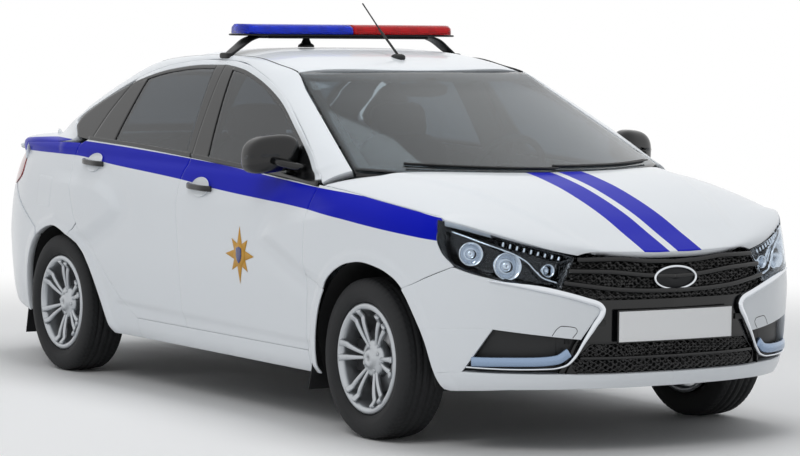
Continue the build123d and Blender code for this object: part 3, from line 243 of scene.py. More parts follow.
def pressing(x, z):
    """Pressed flanks: inside each arrow-shaped crease the metal stands proud and fades towards the wheel."""
    rear = signed_distance(x, z, REAR_CREASE)
    front = signed_distance(x, z, FRONT_CREASE)
    out = REAR_PRESS * np.clip(rear / 0.05, 0, 1) * ease((x + 1.5) / 0.5)
    out = out + FRONT_PRESS * np.clip(front / 0.05, 0, 1) * ease((1.28 - x) / 0.28)
    dish = ease((DISH_W - np.minimum(np.abs(rear + DISH_W),
                                     DISH_W)) / DISH_W) * (rear < 0) * ease((x + 1.2) / 0.3)
    dish2 = ease((DISH_W - np.minimum(np.abs(front + DISH_W),
                                      DISH_W)) / DISH_W) * (front < 0) * ease((1.1 - x) / 0.2)
    foot = 0.352 + 0.03 * (0.9 - x) * 0.5
    sill = -0.010 * ease((foot - z) / 0.03) * ease((x + 0.75) / 0.1) * ease((1.0 - x) / 0.05)
    return out - CREASE_DISH * dish - CREASE_DISH * dish2 + sill - 0.004


def side_y(x, z):
    """Half width at a place in the side view, read from the table, with arch lips and pressings added."""
    i = np.clip((x - TABLE_X[0]) / (TABLE_X[1] - TABLE_X[0]), 0, len(TABLE_X) - 1.001)
    j = np.clip((z - TABLE_Z[0]) / (TABLE_Z[1] - TABLE_Z[0]), 0, len(TABLE_Z) - 1.001)
    i0 = i.astype(int)
    j0 = j.astype(int)
    a = i - i0
    b = j - j0
    t = SIDE_TABLE
    y = ((1 - a) * (1 - b) * t[i0, j0] + a * (1 - b) * t[i0 + 1, j0]
         + (1 - a) * b * t[i0, j0 + 1] + a * b * t[i0 + 1, j0 + 1])
    body = ease((1.0 - z) / 0.1)
    return y + (arch_lip(x, z) + pressing(x, z)) * body


def side(p):
    """Side chart: a place (x, z) goes to the right side of the body."""
    x, z = p[..., 0], p[..., 1]
    return places(x, -side_y(x, z), z)


# Nose chart: a length along the plan from the flank round to the middle, and a height
PLAN_X = np.linspace(1.0, 2.199, 1200)
PLAN_IN = smooth(PLAN_X, NOSE_X, NOSE_IN)
PLAN_S = np.r_[0, np.cumsum(np.hypot(np.diff(PLAN_X), np.diff(PLAN_IN)))]


def nose_width(z):
    """Half width of the section at a height, before the plan's taper."""
    return smooth(z, SECTION_Z, SECTION_Y)


def from_x(x, z):
    """Nose chart's length for a place given by x and z."""
    return float(np.interp(x + nose_back(z), PLAN_X, PLAN_S)), z


def from_y(y, z):
    """Nose chart's length for a place given by y and z."""
    return float(np.interp(nose_width(z) - y, PLAN_IN, PLAN_S)), z


def nose(p):
    """Nose chart: plan point at that length, moved back and in as the section is at that height."""
    s, z = p[..., 0], p[..., 1]
    x = np.interp(s, PLAN_S, PLAN_X) - nose_back(z)
    y = nose_width(z) - np.interp(s, PLAN_S, PLAN_IN)
    y = y + arch_lip(x, z)
    return places(x, -y, z)


TAIL_PLAN_X = np.linspace(-0.9, -2.199, 1300)
TAIL_PLAN_IN = smooth(TAIL_PLAN_X, TAIL_X, TAIL_IN)
TAIL_S = np.r_[0, np.cumsum(np.hypot(np.diff(TAIL_PLAN_X), np.diff(TAIL_PLAN_IN)))]


def tail_from_x(x, z):
    """Tail chart's length for a place given by x and z."""
    return float(np.interp(-(x - tail_back(z)), -TAIL_PLAN_X, TAIL_S)), z


def tail_from_y(y, z):
    """Tail chart's length for a place given by y and z."""
    return float(np.interp(nose_width(z) - y, TAIL_PLAN_IN, TAIL_S)), z


def tail(p):
    """Tail chart, the same as the nose chart but for the rear end."""
    s, z = p[..., 0], p[..., 1]
    x = np.interp(s, TAIL_S, TAIL_PLAN_X) + tail_back(z)
    y = nose_width(z) - np.interp(s, TAIL_S, TAIL_PLAN_IN)
    y = y + arch_lip(x, z)
    return places(x, -y, z)


ROOF_X = [-1.21, -1.025, -0.84, -0.64, -0.48, -0.25, -0.04, 0.11, 0.29, 0.443, 0.644]
ROOF_MID_Z = [1.30, 1.380, 1.420, 1.450, 1.4645, 1.4695, 1.4640, 1.450, 1.421, 1.383, 1.30]


def roof(p):
    """Roof chart: middle line less a fall with the fifth power and a slight one with the square across."""
    x, y = p[..., 0], p[..., 1]
    z = smooth(x, ROOF_X, ROOF_MID_Z) - 0.040 * (np.abs(y) / 0.575) ** 5 - 0.006 * (np.abs(y) / 0.575) ** 2
    return places(x, y, z)


def screen(front):
    """Windscreen or rear window chart: across from -1 to 1 and height, bowed between the level's corners."""
    zs = [row[0] for row in LEVELS]
    mid = [row[1 if front else 9] for row in LEVELS]
    corner = [row[2 if front else 7] for row in LEVELS]
    wide = [row[3 if front else 8] for row in LEVELS]

    def chart(p):
        """Middle x less the corner's setback times the share across to the power 2.3."""
        s, z = p[..., 0], p[..., 1]
        m = smooth(z, zs, mid)
        x = m - (m - smooth(z, zs, corner)) * np.abs(s) ** 2.3
        return places(x, s * smooth(z, zs, wide), z)
    return chart


def line(points, n=120):
    """Smooth line through points, sampled evenly along its length."""
    pts = np.array(points, float)
    s = np.r_[0, np.cumsum(np.hypot(*np.diff(pts, axis=0).T))]
    if len(pts) == 2:
        t = np.linspace(0, 1, n)[:, None]
        return pts[0] * (1 - t) + pts[1] * t
    t = np.linspace(0, s[-1], 6 * n)
    dense = places(smooth(t, s, pts[:, 0]), smooth(t, s, pts[:, 1]))
    s = np.r_[0, np.cumsum(np.hypot(*np.diff(dense, axis=0).T))]
    t = np.linspace(0, s[-1], n)
    return places(np.interp(t, s, dense[:, 0]), np.interp(t, s, dense[:, 1]))


def chain(*lines):
    """Several lines end to end, as one."""
    return np.concatenate([lines[0]] + [more[1:] for more in lines[1:]])


def at(curve, t):
    """Places on a sampled line at shares t of its length."""
    s = np.r_[0, np.cumsum(np.hypot(*np.diff(curve, axis=0).T))]
    s = s / s[-1]
    return places(np.interp(t, s, curve[:, 0]), np.interp(t, s, curve[:, 1]))


def between(low, right, high, left, n, m, gap=ALL_ROUND):
    """Patch between four lines, low and high from left to right, left and right from low to high.

    Each place is the blend across plus the blend upwards less the blend of the four corners. The patch
    stops short of its lines by the gap, given for low, right, high and left.
    """
    low, right, high, left = [np.asarray(c, float) for c in (low, right, high, left)]
    width = np.hypot(*(at(right, 0.5) - at(left, 0.5)))
    height = np.hypot(*(at(high, 0.5) - at(low, 0.5)))
    u = np.linspace(gap[3] / width, 1 - gap[1] / width, n)
    v = np.linspace(gap[0] / height, 1 - gap[2] / height, m)
    lo, hi = at(low, u), at(high, u)
    le, ri = at(left, v), at(right, v)
    uu, vv = u[None, :, None], v[:, None, None]
    grid = (1 - vv) * lo[None] + vv * hi[None] + (1 - uu) * le[:, None] + uu * ri[:, None]
    corners = ((1 - uu) * (1 - vv) * low[0] + uu * (1 - vv) * low[-1]
               + (1 - uu) * vv * high[0] + uu * vv * high[-1])
    return grid - corners


def quads(a, b, c, d):
    """Four-sided faces from four grids of indices, one for each corner."""
    return np.stack([a, b, c, d], -1).reshape(-1, 4)


def normals(grid):
    """Unit normal at each place of a grid, from its two running directions."""
    du = np.gradient(grid, axis=1)
    dv = np.gradient(grid, axis=0)
    n = np.cross(du, dv)
    return n / np.maximum(np.linalg.norm(n, axis=-1, keepdims=True), 1e-12)


def rim_loop(m, n):
    """Indices round a grid's edge, in order."""
    index = np.arange(m * n).reshape(m, n)
    return np.r_[index[0, :], index[1:, -1], index[-1, -2::-1], index[-2:0:-1, 0]]


def grid_faces(m, n, start=0, flip=False):
    """Four-sided faces between neighbouring rows and columns of a grid."""
    index = np.arange(m * n).reshape(m, n) + start
    faces = quads(index[:-1, :-1], index[:-1, 1:], index[1:, 1:], index[1:, :-1])
    return faces[:, ::-1] if flip else faces


def mesh_piece(name, points, faces, values=None):
    """Object from points and faces, with any named number given at each point."""
    mesh = bpy.data.meshes.new(name)
    mesh.from_pydata(np.asarray(points, float).reshape(-1, 3).tolist(), [],
                     [list(map(int, f)) for f in faces])
    for key, data in (values or {}).items():
        layer = mesh.attributes.new(key, "FLOAT", "POINT")
        layer.data.foreach_set("value", np.asarray(data, np.float32).ravel())
    mesh.update()
    mesh.polygons.foreach_set("use_smooth", np.ones(len(mesh.polygons), bool))
    piece = bpy.data.objects.new(name, mesh)
    bpy.context.scene.collection.objects.link(piece)
    made[name] = piece
    return piece


def shell(grid, depth=0.03, values=None):
    """Closed panel: the outer grid, a rolled edge, and the same grid moved in by the panel's depth.

    Returns points, faces and values. The edge is a narrow slant, then a wall down to the inner grid.
    """
    m, n = grid.shape[:2]
    up = normals(grid)
    flat = grid.reshape(-1, 3)
    up_flat = up.reshape(-1, 3)
    inner = flat - up_flat * depth
    loop = rim_loop(m, n)
    out = np.zeros_like(grid)
    out[0] += grid[0] - grid[1]
    out[-1] += grid[-1] - grid[-2]
    out[:, 0] += grid[:, 0] - grid[:, 1]
    out[:, -1] += grid[:, -1] - grid[:, -2]
    out /= np.maximum(np.linalg.norm(out, axis=-1, keepdims=True), 1e-12)
    out_flat = out.reshape(-1, 3)
    edge1 = flat[loop] + out_flat[loop] * EDGE * 0.7 - up_flat[loop] * EDGE * 0.3
    edge2 = flat[loop] + out_flat[loop] * EDGE - up_flat[loop] * EDGE
    edge3 = inner[loop] + out_flat[loop] * EDGE
    points = np.concatenate([flat, edge1, edge2, edge3, inner])
    size = m * n
    k = len(loop)
    faces = [grid_faces(m, n)]
    rings = [loop, size + np.arange(k), size + k + np.arange(k), size + 2 * k + np.arange(k),
             size + 3 * k + loop]
    for a, b in zip(rings[:-1], rings[1:]):
        faces.append(np.stack([a, b, np.roll(b, -1), np.roll(a, -1)], 1))
    faces.append(grid_faces(m, n, size + 3 * k, flip=True))
    new_values = {}
    for key, data in (values or {}).items():
        data = np.asarray(data).ravel()
        new_values[key] = np.r_[data, data[loop], data[loop], np.full(k, -1.0), np.full(size, -1.0)]
    return points, np.concatenate(faces), new_values


def sheet(grid, values=None):
    """Open surface: points, faces and values of a plain grid."""
    return grid.reshape(-1, 3), grid_faces(*grid.shape[:2]), {k: np.ravel(v) for k,
                                                              v in (values or {}).items()}


def joined(parts):
    """Several sets of points, faces and values as one."""
    points, faces, keys = [], [], set()
    start = 0
    for p, _, v in parts:
        keys |= set(v)
    values = {key: [] for key in keys}
    for p, f, v in parts:
        points.append(p)
        faces += [tuple(int(i) + start for i in face) for face in f]
        for key in keys:
            values[key].append(v.get(key, np.full(len(p), -1.0)))
        start += len(p)
    return np.concatenate(points), faces, {key: np.concatenate(v) for key, v in values.items()}


def mirrored(part):
    """The same points, faces and values on the car's other side, faces turned to stay outwards."""
    points, faces, values = part
    return points * [1, -1, 1], [tuple(f)[::-1] for f in faces], values


def turned(part):
    """The same part with its faces turned over."""
    return part[0], [tuple(f)[::-1] for f in part[1]], part[2]


def place(name, part, material, body, replaces=()):
    """Make the piece, give it its material, let it ride on its body, and hide the parts it replaces."""
    piece = mesh_piece(name, part[0], part[1], part[2])
    piece.data.materials.append(material)
    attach(piece, body)
    if replaces:
        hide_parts(*replaces)
    return piece


def both(name, part, material, body, replaces=()):
    """A piece for the right side, and its mirror image for the left. {} in a name stands for the side."""
    for side_sign, made_part in ((RIGHT, part), (LEFT, mirrored(part))):
        word = SIDE_NAME[side_sign]
        place(name.format(word), made_part, material, body.format(word),
              [node.format(word) for node in replaces])


def linear(text):
    """Turn an sRGB hex colour into the linear values that shaders take."""
    channels = np.array([int(text[i:i + 2], 16) / 255 for i in (1, 3, 5)])
    low = channels / 12.92
    high = ((channels + 0.055) / 1.055) ** 2.4
    return (*np.where(channels <= 0.04045, low, high).tolist(), 1.0)


def add(tree, kind, inputs=None, **settings):
    """Add one node with its settings; an input's value is a number, a colour or another node's socket."""
    made_node = tree.nodes.new(kind)
    for key, value in settings.items():
        setattr(made_node, key, value)
    for key, value in (inputs or {}).items():
        socket = made_node.inputs[key]
        if isinstance(value, bpy.types.NodeSocket):
            tree.links.new(value, socket)
        else:
            socket.default_value = value
    return made_node


def material(name, base, roughness, metallic=0.0, grain_mm=None, grain_depth_mm=0.02, vary=0.0, **sockets):
    """Principled surface with a fine grain in its bump and a slow change in its roughness."""
    made_material = bpy.data.materials.new(name)
    made_material.use_nodes = True
    tree = made_material.node_tree
    shader = tree.nodes["Principled BSDF"]
    if isinstance(base, str):
        shader.inputs["Base Color"].default_value = linear(base)
    shader.inputs["Roughness"].default_value = roughness
    shader.inputs["Metallic"].default_value = metallic
    for key, value in sockets.items():
        shader.inputs[key.replace("_", " ")].default_value = value
    where = add(tree, "ShaderNodeTexCoord")
    if grain_mm:
        grain = add(tree, "ShaderNodeTexNoise",
                    {"Vector": where.outputs["Object"], "Scale": 1000 / grain_mm, "Detail": 3.0})
        bump = add(tree, "ShaderNodeBump",
                   {"Height": grain.outputs["Fac"], "Distance": grain_depth_mm / 1000, "Strength": 0.6})
        tree.links.new(bump.outputs["Normal"], shader.inputs["Normal"])
    if vary:
        slow = add(tree, "ShaderNodeTexNoise",
                   {"Vector": where.outputs["Object"], "Scale": 3.0, "Detail": 4.0})
        span = add(tree, "ShaderNodeMapRange",
                   {"Value": slow.outputs["Fac"], "To Min": max(roughness - vary, 0.02),
                    "To Max": roughness + vary})
        tree.links.new(span.outputs["Result"], shader.inputs["Roughness"])
    return made_material


def mix(tree, share, first, second):
    """One colour or the other, or a share of each."""
    return add(tree, "ShaderNodeMix", {0: share, 6: first, 7: second}, data_type="RGBA").outputs[2]


def marked(made_material, attribute, mark, outside=None):
    """Give a surface a second colour where the named value is above 0."""
    tree = made_material.node_tree
    shader = tree.nodes["Principled BSDF"]
    value = add(tree, "ShaderNodeAttribute", attribute_name=attribute)
    inside = add(tree, "ShaderNodeMapRange",
                 {"Value": value.outputs["Fac"], "From Min": 0.0002, "From Max": 0.0010})
    plain = outside or tuple(shader.inputs["Base Color"].default_value)
    tree.links.new(mix(tree, inside.outputs["Result"], plain, linear(mark)), shader.inputs["Base Color"])
    return inside.outputs["Result"]


# Pearl white lacquer: soft satin depth under a sharp reflection; the blue band is duller vinyl
PAINT = material("pearl_white_car_paint", "#E4E8EC", 0.30, grain_mm=1.5, grain_depth_mm=0.003, vary=0.03,
                 Coat_Weight=0.5, Coat_Roughness=0.03, Specular_IOR_Level=0.25)
in_stripe = marked(PAINT, "stripe", "#0A17B4")
paint_tree = PAINT.node_tree
for key, on_paint, on_vinyl in (("Coat Weight", 0.35, 0.0), ("Specular IOR Level", 0.25, 0.06)):
    level = add(paint_tree, "ShaderNodeMapRange",
                {"Value": in_stripe, "To Min": on_paint, "To Max": on_vinyl})
    paint_tree.links.new(level.outputs["Result"], paint_tree.nodes["Principled BSDF"].inputs[key])
# Tinted safety glass: dark and clear, with sharp reflections
SCREEN = material("laminated_windscreen", "#84929A", 0.02, Transmission_Weight=1.0, IOR=1.45)
GLASS = material("tinted_safety_glass", "#646F78", 0.02, Transmission_Weight=1.0, IOR=1.45)
# Clear lamp cover: nearly colourless, sharp reflections
LENS = material("clear_polycarbonate_lens", "#E8EEF4", 0.02, Transmission_Weight=1.0, IOR=1.10)
# Black gloss plastic of frames, caps and grille: deep black with a clear reflection
GLOSS = material("gloss_black_plastic", "#08090B", 0.16, grain_mm=3.0, grain_depth_mm=0.004, vary=0.03)
# Grained black plastic: dull, with a fine leather grain
TRIM = material("grained_black_plastic", "#141517", 0.55, grain_mm=1.1, grain_depth_mm=0.08, vary=0.08)
# Chromed plastic: mirror bright
CHROME = material("chromed_trim", "#DDE1E6", 0.06, 1.0, vary=0.02)
# Brushed silver strip of the daytime lamp: cool blue-grey, soft shine
SILVER_STRIP = material("silver_lamp_strip", "#8FA3BE", 0.25, 0.8, grain_mm=2.0, grain_depth_mm=0.01)
# Silver wheel lacquer: fine metal flake, satin
RIM = material("silver_wheel_lacquer", "#B9BDC1", 0.30, 0.75, grain_mm=0.8, grain_depth_mm=0.01, vary=0.05,
               Coat_Weight=0.4)
# Tyre rubber: dull dark grey with road dust
RUBBER = material("tyre_rubber_compound", "#17181A", 0.78, grain_mm=1.5, grain_depth_mm=0.15, vary=0.10)
# Soft rubber of flaps and seals
SEAL = material("soft_black_rubber", "#101113", 0.60, grain_mm=2.0, grain_depth_mm=0.05, vary=0.05)
# Cast iron and steel under the car: rough, dark, dusty
CAST = material("rough_cast_iron", "#3A3B3D", 0.62, 0.7, grain_mm=2.5, grain_depth_mm=0.25, vary=0.12)
# Painted steel of frames: near black, satin; on the inside of the white panels the same near black is
# painted shade
STEEL_AND_SHADE = material("underbody_painted_steel", "#161718", 0.55, grain_mm=4.0, grain_depth_mm=0.10, vary=0.10)
# Ground steel of the brake disc: bright, with a fine grain
DISC = material("brake_disc_steel", "#8C8D8F", 0.32, 1.0, grain_mm=0.6, grain_depth_mm=0.01, vary=0.08)
# Stainless steel tanned by heat: warm grey, half dull
EXHAUST = material("heat_stained_exhaust_steel", "#6E6860", 0.38, 0.9, grain_mm=3.0, grain_depth_mm=0.05,
                   vary=0.12)
# Pressed felt of the wheel liners: black and quite dull, fibres drawn coarser than they are so as to show
LINER = material("fibrous_arch_liner", "#0E0F10", 0.85, grain_mm=1.8, grain_depth_mm=0.3, vary=0.05)
# Woven polyester of the seats: dull, weave drawn at 0.9 mm so that it shows
CLOTH = material("woven_seat_cloth", "#1C1D20", 0.88, grain_mm=0.9, grain_depth_mm=0.25, Sheen_Weight=0.3)
# Slush-moulded skin of dashboard and linings: dark and soft, with a leather grain
SKIN_TRIM = material("dashboard_soft_plastic", "#1A1B1E", 0.62, grain_mm=0.9, grain_depth_mm=0.10, vary=0.06)
# Reflective sheeting of the plates: flat white, slightly shiny
WHITE_PLATE = material("blank_reflective_plate", "#EDEEEF", 0.32, grain_mm=1.0, grain_depth_mm=0.01,
                       vary=0.04)
# Gold-coloured foil of the star: warm, half metallic
GOLD = material("gold_foil_star", "#B98A2E", 0.34, 0.6, grain_mm=1.2, grain_depth_mm=0.03, vary=0.06)
# Dark blue enamel of the small shield
ENAMEL = material("blue_enamel", "#16256E", 0.15, Coat_Weight=0.5)
# Coloured polycarbonate of the bar and the tail lamps: deep colour, sharp reflections
BLUE_LENS = material("blue_lamp_lens", "#0B35D8", 0.08, Transmission_Weight=0.55, IOR=1.3)
RED_LENS = material("red_lamp_lens", "#D00D18", 0.08, Transmission_Weight=0.55, IOR=1.3)
TAIL_LENS = material("red_tail_lamp_lens", "#A80A12", 0.06, Transmission_Weight=0.35, IOR=1.3,
                     Coat_Weight=0.5)
# Aluminium coated black, of the bar's rack: satin, a little metallic
ALLOY = material("black_coated_aluminium", "#1D1E20", 0.42, 0.6, grain_mm=1.5, grain_depth_mm=0.02,
                 vary=0.06)


STRIPE_TOP = [(-1.97, 1.022), (-1.696, 1.038), (-1.455, 1.047), (-1.088, 1.041), (-0.089, 1.007),
              (1.014, 0.941), (1.361, 0.920), (1.841, 0.850), (2.00, 0.81)]
STRIPE_LOW = [(-1.97, 0.969), (-1.882, 0.972), (-1.195, 0.975), (-0.730, 0.950), (-0.124, 0.919),
              (0.214, 0.894), (0.959, 0.854), (1.391, 0.818), (1.848, 0.777), (2.00, 0.76)]


def stripe(x, z):
    """How far a place in the side view lies inside the blue band."""
    top = smooth(x, *zip(*STRIPE_TOP))
    low = smooth(x, *zip(*STRIPE_LOW))
    return np.minimum(top - z, z - low)


def side_panel(low, right, high, left, n, m, depth=0.028, gap=ALL_ROUND, chart=side):
    """Painted panel on a chart, with its stripe value."""
    p = between(low, right, high, left, n, m, gap)
    grid = chart(p)
    return shell(grid, depth, {"stripe": stripe(grid[..., 0], grid[..., 2])})


def bar(path, profile, up=None, closed=False):
    """Profile carried along a path: at each path point, across and up vectors place the profile's points."""
    path = np.asarray(path, float)
    run = np.gradient(path, axis=0)
    run /= np.maximum(np.linalg.norm(run, axis=1, keepdims=True), 1e-12)
    up = np.broadcast_to(np.asarray((0, 0, 1) if up is None else up, float), path.shape)
    across = np.cross(run, up)
    across /= np.maximum(np.linalg.norm(across, axis=1, keepdims=True), 1e-12)
    up = np.cross(across, run)
    profile = np.asarray(profile, float)
    if profile.ndim == 2:
        profile = np.broadcast_to(profile, (len(path),) + profile.shape)
    rings = path[:, None] + profile[..., :1] * across[:, None] + profile[..., 1:] * up[:, None]
    m, n = rings.shape[:2]
    index = np.arange(m * n).reshape(m, n)
    after = np.roll(index, -1, axis=1)
    faces = quads(index[:-1], index[1:], after[1:], after[:-1]).tolist()
    faces = [tuple(f) for f in faces]
    if not closed:
        faces += [tuple(index[0]), tuple(index[-1][::-1])]
    return rings.reshape(-1, 3), faces, {}


def oval(width, height, n=14, power=2.0):
    """Oval profile, squarer as its power grows."""
    a = np.linspace(0, 2 * np.pi, n, endpoint=False)
    c, s = np.cos(a), np.sin(a)
    return places(width / 2 * np.sign(c) * np.abs(c) ** (2 / power),
                  height / 2 * np.sign(s) * np.abs(s) ** (2 / power))


def blob(centre, size, n=40, m=24, power=3.0, lean=0.0):
    """Closed rounded block: a ball whose axes are raised to a power, leaned about the cross axis."""
    a = np.linspace(0, 2 * np.pi, n, endpoint=False)[None]
    b = np.linspace(-np.pi / 2, np.pi / 2, m)[:, None]

    def p(v):
        """A sine or cosine raised to the block's power, with its sign kept."""
        return np.sign(v) * np.abs(v) ** (2 / power)

    x = p(np.cos(b)) * p(np.cos(a)) * size[0] / 2
    y = p(np.cos(b)) * p(np.sin(a)) * size[1] / 2
    z = p(np.sin(b)) * size[2] / 2
    c, s = math.cos(lean), math.sin(lean)
    points = places(centre[0] + c * x + s * z, centre[1] + y, centre[2] - s * x + c * z)
    index = np.arange(n * m).reshape(m, n)
    after = np.roll(index, -1, axis=1)
    faces = np.stack([index[:-1], after[:-1], after[1:], index[1:]], -1)[1:-1].reshape(-1, 4).tolist()
    faces += [(index[0, 0], int(after[1, i]), int(index[1, i])) for i in range(n)]
    faces += [(index[-1, 0], int(index[-2, i]), int(after[-2, i])) for i in range(n)]
    return points.reshape(-1, 3), faces, {}


def turned_shape(rows, n=96, centre=(0, 0, 0)):
    """Profile turned about the wheel's cross axis: rows of (y, radius), closed by joining last to first."""
    rows = np.asarray(rows, float)
    a = np.linspace(0, 2 * np.pi, n, endpoint=False)
    points = places(centre[0] + rows[:, 1, None] * np.cos(a), centre[1] + rows[:, 0, None],
                    centre[2] + rows[:, 1, None] * np.sin(a))
    index = np.arange(len(rows) * n).reshape(len(rows), n)
    down = np.roll(index, -1, axis=0)
    faces = quads(index, np.roll(index, -1, axis=1), np.roll(down, -1, axis=1), down)
    return points.reshape(-1, 3), faces.tolist(), {}


# Width of the seal above a pane
SEAL_W = 0.013
# Lines of the side view
B_LINE = [(-0.067, 0.300), (-0.080, 0.378), (-0.080, 0.495), (-0.092, 0.686), (-0.114, 0.848),
          (-0.106, 0.925), (-0.087, 1.010)]
DOOR_FRONT = [(0.938, 0.300), (0.962, 0.430), (0.974, 0.530), (0.977, 0.614), (0.978, 0.766), (0.974, 0.864),
              (1.008, 0.944)]
DOOR_BACK = [(-0.520, 0.300), (-0.625, 0.363), (-0.743, 0.454), (-0.883, 0.565), (-1.015, 0.678),
             (-1.088, 0.797), (-1.145, 0.906), (-1.165, 0.975), (-1.150, 1.020), (-1.090, 1.048)]
BELT = [(-1.205, 1.053), (-1.096, 1.049), (-0.591, 1.035), (-0.093, 1.014), (0.263, 0.994), (0.781, 0.965),
        (1.000, 0.948)]
DLO = [(-1.291, 1.126), (-1.255, 1.152), (-1.123, 1.223), (-0.877, 1.316), (-0.617, 1.371), (-0.344, 1.394),
       (-0.170, 1.396), (-0.020, 1.384), (0.140, 1.354), (0.426, 1.267), (0.658, 1.155), (0.858, 1.045),
       (0.969, 0.965)]
DOOR_TOP = [(-1.205, 1.057), (-1.291, 1.126), (-1.255, 1.154), (-1.123, 1.225), (-0.990, 1.285),
            (-0.860, 1.342), (-0.617, 1.393), (-0.344, 1.416), (-0.170, 1.417), (0.000, 1.404),
            (0.140, 1.376), (0.426, 1.290), (0.658, 1.180), (0.872, 1.062), (1.020, 0.960)]


def part_of(points, x0, x1, n=60, lift=0.0):
    """Part of a line of the side view between two x values, moved up or down."""
    dense = line(points, 400)
    x = np.linspace(x0, x1, n)
    return places(x, np.interp(x, dense[:, 0], dense[:, 1]) + lift)


def on_line(points, x, lift=0.0):
    """Place on a line of the side view at one x, moved up or down."""
    dense = line(points, 400)
    return (x, float(np.interp(x, dense[:, 0], dense[:, 1])) + lift)


# Wings
front_arch = line(FRONT_ARCH, 200)
rear_arch = line(REAR_ARCH, 200)
WING_SPLIT = (1.111, 0.553)
LAMP_EDGE = [(1.865, 0.694), (1.815, 0.742), (1.786, 0.800), (1.772, 0.866)]
wing_right = line(LAMP_EDGE)
wing_high = chain([(1.010, 0.953), (1.040, 0.951)],
                  part_of(list(zip(HOOD_EDGE_X, HOOD_EDGE_Z)), 1.04, 1.772))
door_front = line(DOOR_FRONT, 200)
door_foot = door_front[door_front[:, 1] <= 0.600]
door_rest = door_front[door_front[:, 1] >= 0.600]
over_arch = front_arch[(front_arch[:, 0] > WING_SPLIT[0]) & (front_arch[:, 0] < 1.642)]
arch_foot = front_arch[(front_arch[:, 0] <= WING_SPLIT[0]) & (front_arch[:, 1] > 0.215)]
wing_split = np.array([door_foot[-1], arch_foot[-1]])
wing_top = side_panel(chain(wing_split, over_arch, [over_arch[-1], (1.642, 0.597), LAMP_EDGE[0]]),
                      wing_right, wing_high, chain(door_rest, [door_rest[-1], (1.010, 0.953)]), 110, 46,
                      WING_SKIN, (0, GAP, GAP, GAP))
wing_foot = side_panel([(0.944, 0.215), (1.012, 0.215)], chain([(1.012, 0.215)], arch_foot), wing_split,
                       chain([(0.944, 0.215)], door_foot), 14, 40, WING_SKIN, (0, 0, 0, GAP))
wing = joined([wing_top, wing_foot])
both("wing_{}", wing, PAINT, "car_body", ["fender_front_{}"])

# Doors: skin, gloss black frame, painted top strip, moulding, glass
front_low = np.array([(-0.067, 0.300), (0.938, 0.300)])
front_door = side_panel(front_low, line(DOOR_FRONT), part_of(BELT, -0.087, 1.008), line(B_LINE), 92, 60,
                        DOOR_SKIN)
both("front_door_skin_{}", front_door, PAINT, "front_door_{}", ["door_front_{}"])
rear_door = side_panel([(-0.520, 0.300), (-0.067, 0.300)], line(B_LINE), part_of(BELT, -1.090, -0.087),
                       line(DOOR_BACK), 92, 60, DOOR_SKIN)
both("rear_door_skin_{}", rear_door, PAINT, "rear_door_{}", ["door_rear_{}"])


def frame_patch(low, right, high, left, n=16, m=24, depth=0.02, gap=NO_GAP, sink=0.0):
    """Piece of a window frame or a pane, set in by its sink."""
    grid = side(between(low, right, high, left, n, m, gap))
    grid = grid - normals(grid) * sink
    return shell(grid, depth)


post_top = (-0.165, 1.397)
b_edge = np.array([(-0.087, 1.016), post_top])
front_post = frame_patch(part_of(BELT, -0.087, 0.056), [on_line(BELT, 0.056), (-0.085, 1.389)],
                         [post_top, (-0.085, 1.389)], b_edge, gap=(0, 0, 0, GAP))
top_seal = frame_patch(part_of(DLO, -0.085, 0.935, lift=-SEAL_W),
                       [on_line(DLO, 0.935, -SEAL_W), on_line(DLO, 0.935)], part_of(DLO, -0.085, 0.935),
                       [on_line(DLO, -0.085, -SEAL_W), on_line(DLO, -0.085)], n=80, m=4, depth=0.02)
sail = frame_patch(part_of(BELT, 0.790, 0.975), [on_line(BELT, 0.975), (0.972, 0.962)],
                   part_of(DLO, 0.790, 0.968, lift=-SEAL_W),
                   [on_line(BELT, 0.790), on_line(DLO, 0.790, -SEAL_W)])
both("front_window_frame_{}", joined([front_post, top_seal, sail]), GLOSS, "front_door_{}",
     ["door_front_{}"])
front_pane = frame_patch(part_of(BELT, 0.056, 0.790), [on_line(BELT, 0.790), on_line(DLO, 0.790, -SEAL_W)],
                         part_of(DLO, -0.085, 0.790, lift=-SEAL_W), [on_line(BELT, 0.056), (-0.085, 1.378)],
                         n=40, m=26, depth=PANE, gap=(0, 0.001, 0.001, 0.001), sink=0.003)
both("front_door_pane_{}", front_pane, GLASS, "front_door_{}", ["glass_front_door_{}"])
rear_post = frame_patch(part_of(BELT, -0.130, -0.087), b_edge, [(-0.238, 1.394), post_top],
                        [on_line(BELT, -0.130), (-0.238, 1.394)], gap=(0, GAP, 0, 0))
rear_edge = np.array([(-1.059, 1.049), (-0.998, 1.172), (-0.905, 1.303)])
rear_seal = frame_patch(part_of(DLO, -0.905, -0.238, lift=-SEAL_W), [(-0.238, 1.381), (-0.238, 1.394)],
                        part_of(DLO, -0.905, -0.238), [on_line(DLO, -0.905, -SEAL_W), on_line(DLO, -0.905)],
                        n=90, m=4)
division = np.array([on_line(BELT, -0.836), on_line(DLO, -0.792, -SEAL_W)])
rear_corner = frame_patch(part_of(BELT, -1.059, -0.836), division,
                          part_of(DLO, -0.905, -0.792, lift=-SEAL_W), rear_edge, gap=(0, 0, 0, GAP))
both("rear_window_frame_{}", joined([rear_post, rear_seal, rear_corner]), GLOSS, "rear_door_{}",
     ["door_rear_{}"])
rear_pane = frame_patch(part_of(BELT, -0.836, -0.130), [on_line(BELT, -0.130), (-0.238, 1.381)],
                        part_of(DLO, -0.792, -0.238, lift=-SEAL_W), division, n=40, m=26, depth=PANE,
                        gap=(0, 0.001, 0.001, 0.001), sink=0.003)
both("rear_door_pane_{}", rear_pane, GLASS, "rear_door_{}", ["glass_rear_door_{}"])
